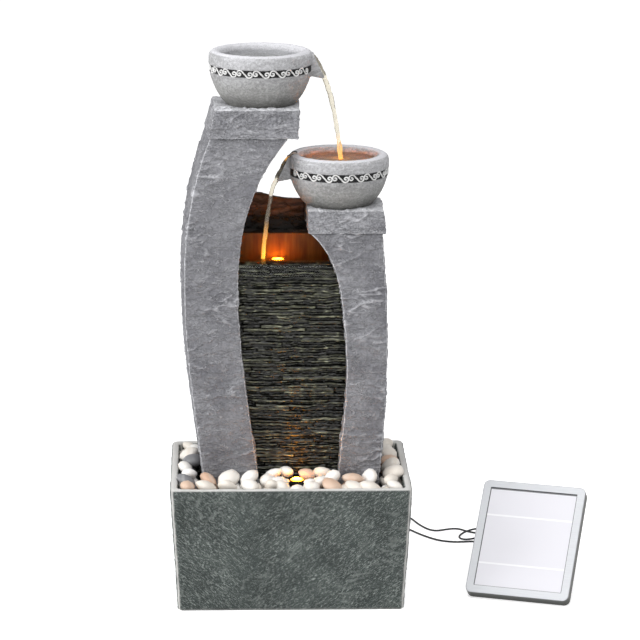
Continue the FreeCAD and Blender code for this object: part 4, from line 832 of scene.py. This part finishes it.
bpy.ops.mesh.primitive_grid_add(x_subdivisions=SLATE_COLUMNS, y_subdivisions=SLATE_ROWS, size=1.0)
ledges = bpy.context.object
ledges.name = "slate_ledges"
edit_all(ledges, bpy.ops.mesh.extrude_region_move, TRANSFORM_OT_translate={"value": (0, 0, 1)})
lip_left, lip_right = slate_edges(SLATE_HIGH)
edges_at = {}
crests = []
for vertex in ledges.data.vertices:
    across, rising = vertex.co.x + 0.5, vertex.co.y + 0.5
    y = SLATE_FRONT if vertex.co.z > 0.5 else SLATE_BACK
    if rising < BURIED_SHARE:
        z = SLATE_LOW + rising / BURIED_SHARE * (BURIED_HIGH - SLATE_LOW)
    else:
        z = SLATE_HIGH - (1 - rising) / (1 - BURIED_SHARE) * (SLATE_HIGH - BURIED_HIGH)
    if z not in edges_at:
        edges_at[z] = slate_edges(z)
    left, right = edges_at[z]
    x = left + across * (right - left)
    depth, crest = slate_front(x, z)
    crests.append(crest)
    vertex.co = Vector((x, y - depth if y == SLATE_FRONT else y, z)) * MM
ledges.data.attributes.new("relief", "FLOAT", "POINT").data.foreach_set("value", crests)
edit_all(ledges, bpy.ops.mesh.normals_make_consistent, inside=False)

# Wet black slate: near black in the joints, olive on the crests, the palest olive a painted highlight, with
# sharp wet glints.
wet_slate, tree, shader, place = start_finish("wet_black_slate", Roughness=0.2, Specular_IOR_Level=0.3)
stretch = add(tree, "Mapping", Vector=place, Scale=(every(26), every(26), every(3.2)))
strand = add(tree, "TexNoise", Vector=stretch, Scale=1.0, Detail=6.0, Roughness=0.65, Distortion=0.4)
height = add(tree, "Attribute", attribute_name="relief")
mixed = add(tree, "Math", strand, height.outputs["Fac"], operation="MULTIPLY")
# The palest stop paints a highlight on the crests.
tone = add(tree, "ValToRGB", mixed,
           stops=((0.1, "#090908"), (0.3, "#1d1d19"), (0.48, "#47483a"), (0.7, "#aaac91")))
bump = add(tree, "Bump", Strength=0.6, Distance=1.0 * MM, Height=strand)
connect(tree, shader, Base_Color=tone, Normal=bump)
settle(ledges, wet_slate, "wet_ledgestone", "slate_face", angle=40)

# %% [markdown]
# ## Finishes of the plain pieces
# The other pieces are moulded, turned or bought-in parts that keep their plain shape: plastic housings,
# rubber feet, steel pins, vinyl tube, the solar panel. They need only the right surface. Most of them share
# one recipe, a colour with a fine grain, and differ in their tones, roughness and grain.

# %% Moulded plastics, rubber and metals
def plain_finish(name, dark, light, grain, bumpy, roughness, metallic=0.0):
    """A surface with two close tones and a fine grain of a size in mm."""
    finish, tree, shader, place = start_finish(name, Roughness=roughness, Metallic=metallic)
    fine = add(tree, "TexNoise", Vector=place, Scale=every(grain), Detail=4.0)
    tone = add(tree, "ValToRGB", fine, stops=((0.3, dark), (0.7, light)))
    bump = add(tree, "Bump", Strength=bumpy, Distance=0.2 * MM, Height=fine)
    connect(tree, shader, Base_Color=tone, Normal=bump)
    return finish


def dress(finish, *nodes):
    """Give rigid nodes their finish."""
    for node in nodes:
        cad[node].data.materials.clear()
        cad[node].data.materials.append(finish)
    print(finish.name, "on", len(nodes))


dress(lead_vinyl, "lead_splitter", "lamp_grommet", "pump_grommet", "coil_ties", "panel_glands",
      "bowl_lamp_lead", "basin_lamp_lead", "pebble_lamp_lead", "lamp_tail", "pump_tail")
# Black shelf plastic: dull, with the faint grain of a spark-eroded mould.
dress(plain_finish("black_polypropylene", "#1b1b1c", "#262627", 1.2, 0.35, 0.6), "pebble_tray")
# Pump plastic: charcoal with a satin face that shows the ribs.
dress(plain_finish("charcoal_abs", "#25272a", "#303236", 1.5, 0.25, 0.42), "pump_body", "pump_cover")
# Impeller nylon: milky white, slightly waxy.
dress(plain_finish("white_nylon", "#d9d7cf", "#e8e6df", 3.0, 0.1, 0.45), "pump_impeller")
# Ground steel: bright and smooth, for the pump's shaft, the stand's pin and the screws.
dress(plain_finish("ground_steel", "#b0b2b5", "#c9cbce", 0.8, 0.15, 0.28, 1.0), "pump_shaft", "stand_pin",
      "panel_screws")
# Dial plastic: mid grey, so that a finger finds it on the dark pump.
dress(plain_finish("grey_abs_dial", "#8b8d90", "#9b9da0", 1.2, 0.2, 0.48), "flow_dial")
# Foot rubber: matt black, gripping the trough's floor.
dress(plain_finish("black_rubber", "#151515", "#1e1e1e", 0.9, 0.3, 0.85), "pump_feet")
# Lamp housing: glossy black, sealed against water.
dress(plain_finish("black_lamp_abs", "#141414", "#1d1d1d", 2.0, 0.1, 0.3), "bowl_lamp", "basin_lamp",
      "pebble_lamp", "bowl_inlet")
# Battery wrap: the smooth blue sleeve of a small rechargeable pack.
dress(plain_finish("blue_battery_wrap", "#21509a", "#2a5cab", 4.0, 0.05, 0.3), "panel_battery")

# Clear vinyl tube: lets the water inside be seen, a little cloudy.
tube_vinyl, tree, shader, place = start_finish("clear_vinyl_tube", Roughness=0.15, IOR=1.5,
                                               Transmission_Weight=0.85, Base_Color=linear("#e6eceb"))
dress(tube_vinyl, "riser_tube")

# Circuit board: green lacquer with copper tracks showing through as paler lines.
board_lacquer, tree, shader, place = start_finish("green_circuit_board", Roughness=0.35)
tracks = add(tree, "TexBrick", Vector=place, Scale=every(9), Color1=linear("#17512f"),
             Color2=linear("#1b5c36"), Mortar=linear("#3f8757"), Mortar_Size=0.03)
connect(tree, shader, Base_Color=tracks)
dress(board_lacquer, "panel_board")

# %% [markdown]
# ## Basin, rear panel and hatch
# Behind the slate the water first fills a small basin. Its walls are always wet, so they are dark and
# shiny, and their orange-brown is partly painted amber lamplight. The rear panel is the pillars' grey slate,
# but wet and brown-black where it faces the basin: its brown is partly painted amber lamplight, and a black
# band a little above the basin is painted shadow. Its back is carved like the pillars, and stays flat where
# the hatch's flange lies on it. The hatch keeps its plain shape, because it has to slide clear of its frame,
# and only takes the slate's paint.

# %% Carve the rear panel
HATCH_MARGIN = 4.0
WET_FROM = 545.0
REAR_SKIN = 2.0
REAR_SHARE = 0.6
margin = Vector((HATCH_MARGIN, HATCH_MARGIN, HATCH_MARGIN))
hatch_low = Vector(cad["pump_hatch"].bound_box[0]) / MM - margin
hatch_high = Vector(cad["pump_hatch"].bound_box[6]) / MM + margin


def panel_relief(spot, normal):
    """Slate relief in mm on the panel's back, and on its front above the basin."""
    by_hatch = all(hatch_low[axis] < spot[axis] < hatch_high[axis] for axis in (0, 2))
    shown = normal.y > 0.7 or (normal.y < -0.7 and spot.z > WET_FROM)
    return REAR_SHARE * slate_relief(spot, normal) if shown and not by_hatch else 0.0


# Rear slate: grey from behind; dark, wet and brown on the front above the basin, the brown partly painted
# amber lamplight, with a black band of painted shadow a little above the basin.
rear_slate, tree, shader, stone = stone_finish("grey_slate_panel", SLATE_TONES, drag_depth=1.8, **SLATE_BRUSH)
place = add(tree, "TexCoord").outputs["Object"]
level = add(tree, "SeparateXYZ", place)
mark = add(tree, "MapRange", level.outputs["Z"], 520 * MM, 590 * MM)
# Painted shade: a black band of painted shadow from about 532 to 549 mm, with brown above and below it that
# is partly painted amber lamplight.
stain_and_painted_shade = add(tree, "ValToRGB", mark,
            stops=((0.1, "#4a3a2e"), (0.17, "#0b0806"), (0.42, "#0f0b08"), (0.52, "#5c3d2a"),
                   (1.0, "#6b4630")))
stretch = add(tree, "Mapping", Vector=place, Scale=(every(60), every(60), every(16)))
wave = add(tree, "TexNoise", Vector=stretch, Scale=1.0, Detail=7.0, Roughness=0.6, Distortion=0.8)
rust = add(tree, "ValToRGB", wave, stops=((0.42, "#7d7d7d"), (0.6, "#ffffff")))
wisps = add(tree, "MixRGB", 1.0, stain_and_painted_shade, rust, blend_type="MULTIPLY")
facing = add(tree, "SeparateXYZ", add(tree, "TexCoord").outputs["Normal"])
front = add(tree, "MapRange", facing.outputs["Y"], -0.3, -0.6)
wet_front_and_painted_light = add(tree, "MixRGB", front, stone, wisps)
gloss = add(tree, "MapRange", front, 0.0, 1.0, 0.78, 0.4)
connect(tree, shader, Base_Color=wet_front_and_painted_light, Roughness=gloss, Specular_IOR_Level=0.15)

rear_stone = copy_node("rear_panel_stone", "rear_panel")
use_modifier(rear_stone, "REMESH", mode="VOXEL", voxel_size=REAR_SKIN * MM)
carve(rear_stone, panel_relief, relief=slate_mark)
settle(rear_stone, rear_slate, "cast_slate", "rear_panel", angle=60)
dress(cast_slate, "pump_hatch")

# %% Wet the basin
# Basin resin: wet orange-brown, partly painted amber lamplight, with runs down its walls, and it takes the
# lamp's colour.
basin_resin, tree, shader, place = start_finish("wet_basin_resin", Roughness=0.4, Specular_IOR_Level=0.15)
runs = add(tree, "Mapping", Vector=place, Scale=(every(7), every(7), every(60)))
streak = add(tree, "TexNoise", Vector=runs, Scale=1.0, Detail=4.0)
tone = add(tree, "ValToRGB", streak, stops=((0.3, "#54300f"), (0.5, "#6a4018"), (0.7, "#7e5122")))
connect(tree, shader, Base_Color=tone)
dress(basin_resin, "upper_basin")

# %% [markdown]
# ## The seam beside the cap
# The rear panel stops just short of the right-hand cap, and a dark strip in the seam stands for the shade
# between them. A ball is drawn out into a rod with round ends and left a little uneven.

# %% Run the strip of painted shade
SHADE_STRIP_AT = Vector((22.3, 25.5, 560.5))
SHADE_STRIP_HALF = Vector((1.4, 3.2, 17.5))
bpy.ops.mesh.primitive_uv_sphere_add(segments=20, ring_count=32, radius=1.0)
shade_strip = bpy.context.object
shade_strip.name = "seam_shade_strip"
for vertex in shade_strip.data.vertices:
    out = vertex.co.to_2d().length
    fat = (1 + 0.15 * noise((0, 0, vertex.co.z * 5))) * out ** 0.35 / max(out, 0.001)
    spread = Vector((vertex.co.x * fat, vertex.co.y * fat, vertex.co.z))
    vertex.co = (SHADE_STRIP_AT + spread * SHADE_STRIP_HALF) * MM
# Dark strip of painted shade in the seam: dull, with a soft skin.
settle(shade_strip, plain_finish("black_seam_shade", "#1a1512", "#241d18", 2.0, 0.2, 0.5), None)

# %% [markdown]
# ## Lamps
# Three warm LEDs under domed lenses light the water from below: one in the lower bowl, one in the basin and
# one among the pebbles. The lenses really give off light here, so the glow on bowl, basin and slate comes
# by itself; the amber glow in the water and part of the amber on the basin and the rear panel are painted
# light.

# %% Light the lenses
for node, power, amber in (("bowl_lamp_lens", 200.0, "#ff8c18"), ("basin_lamp_lens", 190.0, "#ff8e1a"),
                           ("pebble_lamp_lens", 220.0, "#ff9a18")):
    # Lit amber lens: a glowing dome, brightest over its diode, whose light tints what stands near it.
    lens_glow, tree, shader, place = start_finish("amber_lens_" + node.split("_")[0], Roughness=0.2,
                                                  Base_Color=linear("#ffb347"), Emission_Color=linear(amber))
    low, high = Vector(cad[node].bound_box[0]), Vector(cad[node].bound_box[6])
    flat = add(tree, "VectorMath", place, (1, 1, 0), operation="MULTIPLY")
    away = add(tree, "VectorMath", flat.outputs["Vector"], ((low + high) / 2).to_2d().to_3d(),
               operation="DISTANCE")
    core = add(tree, "MapRange", away.outputs["Value"], 0.0, (high.x - low.x) / 2, power, 0.05 * power)
    connect(tree, shader, Emission_Strength=core)
    dress(lens_glow, node)

# %% [markdown]
# ## Pebbles
# River pebbles fill the trough round the pillars, heaped a little above the rim. Each is worn smooth and
# flat. One pebble is modelled from a ball, pressed flat and made uneven. Its copies get their own shape,
# turn and tilt, and lie in two layers over the places that the rigid stones mark, with a few more round the
# lamp. A seed keeps the heap the same each time.

# %% Model one pebble
bpy.ops.mesh.primitive_ico_sphere_add(subdivisions=2, radius=1.0)
pebble = bpy.context.object
pebble.name = "pebble"
for vertex in pebble.data.vertices:
    flat = vertex.co * (1 + 0.16 * noise(vertex.co * 0.9) + 0.04 * noise(vertex.co * 2.3))
    vertex.co = Vector((flat.x, flat.y * 0.86, flat.z * (0.57 + 0.08 * flat.x)))
print("pebble", len(pebble.data.vertices), "vertices")

# %% Pebble finishes
def pebble_finish(name, vein, stops):
    """Smooth river stone with its own tone, soft clouds and a few veins."""
    finish, tree, shader, place = start_finish(name, Roughness=0.46)
    own = add(tree, "Attribute", attribute_name="tint")
    cloud = add(tree, "TexNoise", Vector=place, Scale=every(16), Detail=5.0)
    blend = add(tree, "Math", cloud, 0.45, own.outputs["Fac"], operation="MULTIPLY_ADD")
    tone = add(tree, "ValToRGB", blend, stops=stops)
    line = add(tree, "TexWave", Vector=place, Scale=every(140), Distortion=9.0, Detail=3.0)
    thin = add(tree, "MapRange", line.outputs["Fac"], 0.9, 1.0, 0.0, 0.4)
    veined = add(tree, "MixRGB", thin, tone, linear(vein))
    connect(tree, shader, Base_Color=veined)
    return finish


# Cream quartz: chalk white to warm cream, bright even in the shade.
cream_stone = pebble_finish("cream_river_pebble", "#e0d3c2",
                            ((0.2, "#e6dccf"), (0.6, "#f3eee7"), (1.0, "#fcfaf7")))
# Tan feldspar: pinkish brown, the few warm stones of the heap.
tan_stone = pebble_finish("tan_river_pebble", "#eaddd0",
                          ((0.2, "#c9a288"), (0.6, "#dcbfa9"), (1.0, "#e8d5c6")))
# Grey basalt: a couple of dark stones.
grey_stone = pebble_finish("grey_river_pebble", "#b5b5b6",
                           ((0.2, "#6b6b6e"), (0.6, "#828285"), (1.0, "#9a9a9c")))

# %% Heap the pebbles
HEAP_LOW = 170.0
HEAP_RIM = 180.0
HEAP_RISE = 5.0
RIM_REACH = 60.0
TROUGH_HALF = 127.0
JOG = (5, 4, 2)
TILT = 0.35
LAMP_STONES = ((-10, -100, 178, 24), (9, -105, 177, 24), (28, -98, 178, 24), (-21, -79, 179, 24),
               (39, -77, 179, 24), (-9, -86, 183, 14), (27, -86, 183, 14))
heap_chance = random.Random(21)


def marked_places(node):
    """Centre and size, in mm, of each stone of a rigid pebble node."""
    stones = copy_node("marks", node)
    edit_all(stones, bpy.ops.mesh.separate, type="LOOSE")
    found = []
    for mark in list(bpy.context.selected_objects):
        spots = [vertex.co / MM for vertex in mark.data.vertices]
        low = Vector([min(spot[axis] for spot in spots) for axis in range(3)])
        high = Vector([max(spot[axis] for spot in spots) for axis in range(3)])
        found.append(((low + high) / 2, high - low))
        bpy.data.objects.remove(mark)
    return found


def lay_pebble(centre, size):
    """One pebble with its own shape, laid at a place with a turn and a slight tilt."""
    stone = own_copy(pebble)
    shift = Vector([heap_chance.uniform(-50, 50) for axis in range(3)])
    long = heap_chance.uniform(0.56, 0.74) * size.x
    shape = Vector((long, long * heap_chance.uniform(0.8, 1.0), long * heap_chance.uniform(0.8, 1.05)))
    turn = Matrix.Rotation(heap_chance.uniform(0, 2 * math.pi), 3, "Z")
    tilt_x = Matrix.Rotation(heap_chance.gauss(0, TILT), 3, "X")
    tilt_y = Matrix.Rotation(heap_chance.gauss(0, TILT), 3, "Y")
    pose = tilt_x @ tilt_y @ turn
    for vertex in stone.data.vertices:
        worn = vertex.co * (1 + 0.13 * noise(vertex.co * 0.8 + shift))
        vertex.co = (centre + pose @ (worn * shape)) * MM
    tint = stone.data.attributes.new("tint", "FLOAT", "POINT")
    tint.data.foreach_set("value", [heap_chance.uniform(0.05, 0.75)] * len(stone.data.vertices))
    return stone


for colour, finish in (("cream", cream_stone), ("tan", tan_stone), ("grey", grey_stone)):
    heap = []
    for centre, size in marked_places("pebbles_" + colour):
        room = clamp((TROUGH_HALF - abs(centre.y)) / RIM_REACH)
        for level in (HEAP_LOW, HEAP_RIM + HEAP_RISE * room):
            jog = Vector([heap_chance.uniform(-reach, reach) for reach in JOG])
            heap.append(lay_pebble(Vector((centre.x, centre.y, level)) + jog, size))
    if colour == "cream":
        heap += [lay_pebble(Vector(spot), Vector((width, width, width))) for *spot, width in LAMP_STONES]
    settle(join(heap, colour + "_pebbles"), finish, "pebble_" + colour, "pebbles_" + colour)
bpy.data.objects.remove(pebble)

# %% [markdown]
# ## Water
# The running fountain is what the photograph shows. Water stands level in the bowls and the basin, with
# rings where a stream strikes it, slides over the slate's lip, and falls from each chute in a thin twisting
# stream that narrows as it speeds up. Pools are grids fitted to their bowls and moved into ripples. A
# stream is a curve with a changing width, made a mesh and roughened as falling water is.

# %% Water finishes
# Still water: clear, seen by its glints and by how it bends what lies below.
WATER_IOR = 1.33
clear_water, tree, shader, place = start_finish("clear_water", Roughness=0.03, IOR=WATER_IOR, Alpha=0.5,
                                                Transmission_Weight=1.0, Base_Color=linear("#f1f6f6"))
ripple = add(tree, "TexNoise", Vector=place, Scale=every(11), Detail=2.0)
bump = add(tree, "Bump", Strength=0.25, Distance=1.0 * MM, Height=ripple)
connect(tree, shader, Normal=bump)

# Lamp-lit water: the lower bowl's pool, tinted brown as painted amber lamplight, with a painted golden glow
# on the ripples over the lamp.
lit_water, tree, shader, place = start_finish("lamp_lit_water", Roughness=0.05, IOR=WATER_IOR, Alpha=0.75,
                                              Transmission_Weight=1.0, Base_Color=linear("#c08a58"),
                                              Emission_Color=linear("#ffa82e"))
ripple = add(tree, "TexNoise", Vector=place, Scale=every(9), Detail=3.0, Distortion=0.8)
bump = add(tree, "Bump", Strength=0.6, Distance=1.2 * MM, Height=ripple)
flat = add(tree, "VectorMath", place, (1, 1, 0), operation="MULTIPLY")
away = add(tree, "VectorMath", flat.outputs["Vector"], (LOWER_BOWL["centre"] * MM).to_3d(),
           operation="DISTANCE")
painted_lamp_glow = add(tree, "MapRange", away.outputs["Value"], 0.0, 24 * MM, 0.8, 0.0)
painted_glint = add(tree, "Math", painted_lamp_glow, ripple, operation="MULTIPLY")
connect(tree, shader, Normal=bump, Emission_Strength=painted_glint)

# Falling water: full of air, so it is whiter than the pools, with a painted golden glow near the basin and
# near the lower bowl's pool, where a lamp shines up it.
falling_water, tree, shader, place = start_finish("aerated_water", Roughness=0.12, IOR=WATER_IOR,
                                                  Transmission_Weight=0.85, Emission_Strength=0.8,
                                                  Base_Color=linear("#ece6d6"))
fallen = add(tree, "SeparateXYZ", place)
# The golden glow is painted by emission in bands of height.
drop = add(tree, "MapRange", fallen.outputs["Z"], 490 * MM, 790 * MM)
lamplight = add(tree, "ValToRGB", drop,
                stops=((0.0, "#ffb52e"), (0.08, "#c98a1e"), (0.2, "#000000"), (0.487, "#000000"),
                       (0.497, "#d89a3a"), (0.62, "#000000")))
pull = add(tree, "Mapping", Vector=place, Scale=(every(3), every(3), every(16)))
braid = add(tree, "TexNoise", Vector=pull, Scale=1.0, Detail=3.0, Distortion=0.6)
bump = add(tree, "Bump", Strength=0.7, Distance=1.2 * MM, Height=braid)
connect(tree, shader, Normal=bump, Emission_Color=lamplight)

# %% Pools
POOL_CELLS = 56
REACH_RAYS = 36
POOL_OVERLAP = 0.6


def inner_reach(stone, centre, level):
    """Radius of a bowl's inside at a height, the middle one of rays from its axis."""
    start = Vector((*centre, level)) * MM
    found = []
    for step in range(REACH_RAYS):
        angle = 2 * math.pi * step / REACH_RAYS
        hit, spot = stone.ray_cast(start, Vector((math.cos(angle), math.sin(angle), 0)))[:2]
        if hit:
            found.append((spot - start).length / MM)
    return sorted(found)[len(found) // 2]


def make_pool(name, bowl, stone, depth, strike, finish):
    """Rippled round pool at a depth under a bowl's rim, with rings round the place where a stream strikes."""
    level = bowl["rim"] - depth
    reach = inner_reach(stone, bowl["centre"], level) + POOL_OVERLAP
    bpy.ops.mesh.primitive_grid_add(x_subdivisions=POOL_CELLS, y_subdivisions=POOL_CELLS, size=2.0)
    pool = bpy.context.object
    pool.name = name
    for vertex in pool.data.vertices:
        a, b = vertex.co.x, vertex.co.y
        x = bowl["centre"].x + reach * a * math.sqrt(1 - b * b / 2)
        y = bowl["centre"].y + reach * b * math.sqrt(1 - a * a / 2)
        ring = (Vector((x, y)) - strike).length
        wave = 0.9 * math.cos(ring / 1.9) * math.exp(-ring / 17) + 0.35 * noise((x / 9, y / 9, 3))
        vertex.co = Vector((x, y, level + wave)) * MM
    settle(pool, finish, None)


make_pool("top_pool", TOP_BOWL, top_stone, depth=9.0, strike=TOP_BOWL["centre"], finish=clear_water)
make_pool("lower_pool", LOWER_BOWL, lower_stone, depth=9.2, strike=Vector((72.0, -2.0)), finish=lit_water)

# %% The basin's water and the lip
LIP_PROFILE = ((17.0, 494.4), (4.0, 494.5), (-10.0, 494.6), (-24.0, 494.6), (-35.0, 494.4), (-41.5, 493.4),
               (-44.6, 490.6), (-45.6, 485.0), (-45.9, 476.0))
LIP_COLUMNS = 70
STRIKE_X = -39.0
bpy.ops.mesh.primitive_grid_add(x_subdivisions=LIP_COLUMNS, y_subdivisions=len(LIP_PROFILE) - 1, size=1.0)
lip = bpy.context.object
lip.name = "basin_water"
for vertex in lip.data.vertices:
    y, z = LIP_PROFILE[round((0.5 - vertex.co.y) * (len(LIP_PROFILE) - 1))]
    x = lip_left + (vertex.co.x + 0.5) * (lip_right - lip_left)
    ring = math.hypot(x - STRIKE_X, y)
    lift = 0.8 * math.cos(ring / 2.0) * math.exp(-ring / 18) + 0.4 * noise((x / 8, y / 8, 1))
    vertex.co = Vector((x, y - 1.2 * noise((x / 6, 7, z / 30)) * (y < -40), z + lift * (y > -42))) * MM
use_modifier(lip, "SUBSURF", levels=2, render_levels=2)
settle(lip, clear_water, None)

# %% Streams
def make_stream(name, course):
    """A falling stream through places with a radius at each, roughened into strands."""
    stream = draw_line(name, course, 1.0, order=4, steps=14, round_steps=4)
    select_only(stream)
    bpy.ops.object.convert(target="MESH")
    for vertex in stream.data.vertices:
        spot = vertex.co / MM
        swell = 1.1 * noise((spot.x / 5, spot.y / 5, spot.z / 14)) + 0.5 * noise(spot / 3)
        vertex.co += vertex.normal * (swell * MM)
    settle(stream, falling_water, None)


make_stream("upper_stream", (
    (8, 6, 785.0, 3.0), (22, 6, 786.0, 4.6), (31, 6, 785.2, 4.8), (36, 6, 779, 3.8), (42, 5.7, 769, 3.6),
    (48, 5, 757.5, 3.7), (53, 3.5, 742, 3.7), (57.4, 2, 728, 3.5), (64.7, 0, 694, 3.1), (69, -1, 665, 2.9),
    (72.2, -2, 638, 3.2)))
make_stream("lower_stream", (
    (16, -4, 639.0, 3.0), (4, -4, 639.8, 4.6), (-3, -4, 638.6, 4.8), (-8, -4, 632, 3.8),
    (-13.5, -4, 622, 3.5), (-19, -4, 610.5, 3.5), (-23, -3.5, 602, 3.3), (-26.5, -3, 592, 3.1),
    (-31, -2, 566, 2.8), (-34.5, -1, 538.5, 2.7), (-37.3, 0, 515, 2.7), (STRIKE_X, 0, 492.5, 3.1)))

# %% [markdown]
# ## The solar panel
# A silver frame holds a pane over the cells, on a dark grained housing. The pane's reflection of the bright
# sky is painted into its colour, so it looks almost white, with faint lines between the cells and a thin
# painted shadow round it, widest at the top, and the frame's silver is a film on its front that leaves the
# sides dark. The panel leans, so its own directions are taken from its joints: the stand folds about a line
# across the panel, and the button is pressed straight into it.

# %% Dress the panel
def joint_named(name):
    """The record's entry for a joint."""
    return next(entry for entry in frame["joints"] if entry["name"] == name)


across = -Vector(joint_named("stand_fold")["axis"])
outward = Vector(joint_named("button_press")["axis"])
upward = outward.cross(across)
pane_heights = [vertex.co.dot(upward) for vertex in cad["solar_cells"].data.vertices]
pane_low, pane_high = min(pane_heights), max(pane_heights)
pane_runs = [vertex.co.dot(across) for vertex in cad["solar_cells"].data.vertices]
LINE_SHARES = (0.243, 0.715)
LINE_HALF = 0.9
GAP_SHADOW_REACH = 3.6
TOP_GAP_SHADOW = 1.5

# Sky-bright pane: pale lavender white, a painted reflection of the bright sky, with soft lines where the
# cells meet, and a dark painted shadow along its edges, widest at the top.
solar_pane, tree, shader, place = start_finish("sky_bright_solar_glass", Roughness=0.25, Coat_Weight=0.3,
                                               Coat_Roughness=0.05)
run, risen = (add(tree, "VectorMath", place, way, operation="DOT_PRODUCT").outputs["Value"]
              for way in (across, upward))
# The pane's pale colour is a painted reflection of the bright sky.
pane = linear("#dcdbe2")
for share in LINE_SHARES:
    line_height = pane_low + share * (pane_high - pane_low)
    away = add(tree, "Math", risen, line_height, operation="SUBTRACT")
    near = add(tree, "Math", away, operation="ABSOLUTE")
    line = add(tree, "MapRange", near, LINE_HALF * MM, 2 * LINE_HALF * MM, 1.0, 0.0)
    pane = add(tree, "MixRGB", line, pane, linear("#eeeef2"))
# A dark band of painted shadow along the pane's edges, widest at the top where the frame's lip shades it.
inset = add(tree, "Math", pane_high - TOP_GAP_SHADOW * MM, risen, operation="SUBTRACT").outputs["Value"]
for value, edge, sign in ((risen, pane_low, 1), (run, min(pane_runs), 1), (run, max(pane_runs), -1)):
    margin = add(tree, "Math", value, sign, -sign * edge, operation="MULTIPLY_ADD").outputs["Value"]
    inset = add(tree, "Math", inset, margin, operation="MINIMUM").outputs["Value"]
painted_gap_shadow = add(tree, "MapRange", inset, GAP_SHADOW_REACH * MM, (GAP_SHADOW_REACH + 0.4) * MM, 1.0, 0.0)
pane_with_painted_shadow = add(tree, "MixRGB", painted_gap_shadow, pane, linear("#4a4b50"))
connect(tree, shader, Base_Color=pane_with_painted_shadow)
dress(solar_pane, "solar_cells")

# Brushed silver frame: pale, with fine lines along its width, and bare dark plastic on its sides.
silver, tree, shader, place = start_finish("brushed_silver_frame", Roughness=0.45, Metallic=0.15)
run, risen = (add(tree, "VectorMath", place, way, operation="DOT_PRODUCT").outputs["Value"]
              for way in (across, upward))
flat = add(tree, "CombineXYZ", X=run, Y=risen)
brushed = add(tree, "Mapping", Vector=flat, Scale=(every(30), every(0.7), 1.0))
hair = add(tree, "TexNoise", Vector=brushed, Scale=1.0, Detail=3.0)
tone = add(tree, "ValToRGB", hair, stops=((0.3, "#c6c8cc"), (0.7, "#d2d4d8")))
facing = add(tree, "VectorMath", add(tree, "TexCoord").outputs["Normal"], outward, operation="DOT_PRODUCT")
film = add(tree, "MapRange", facing.outputs["Value"], 0.3, 0.6)
framed = add(tree, "MixRGB", film, linear("#3d403d"), tone)
connect(tree, shader, Base_Color=framed)
dress(silver, "panel_bezel")

# Dark housing: olive-black plastic with a leather-like mould grain.
dress(plain_finish("olive_black_abs", "#1d1f1a", "#282b25", 1.4, 0.5, 0.5), "panel_back", "panel_stand",
      "panel_button")
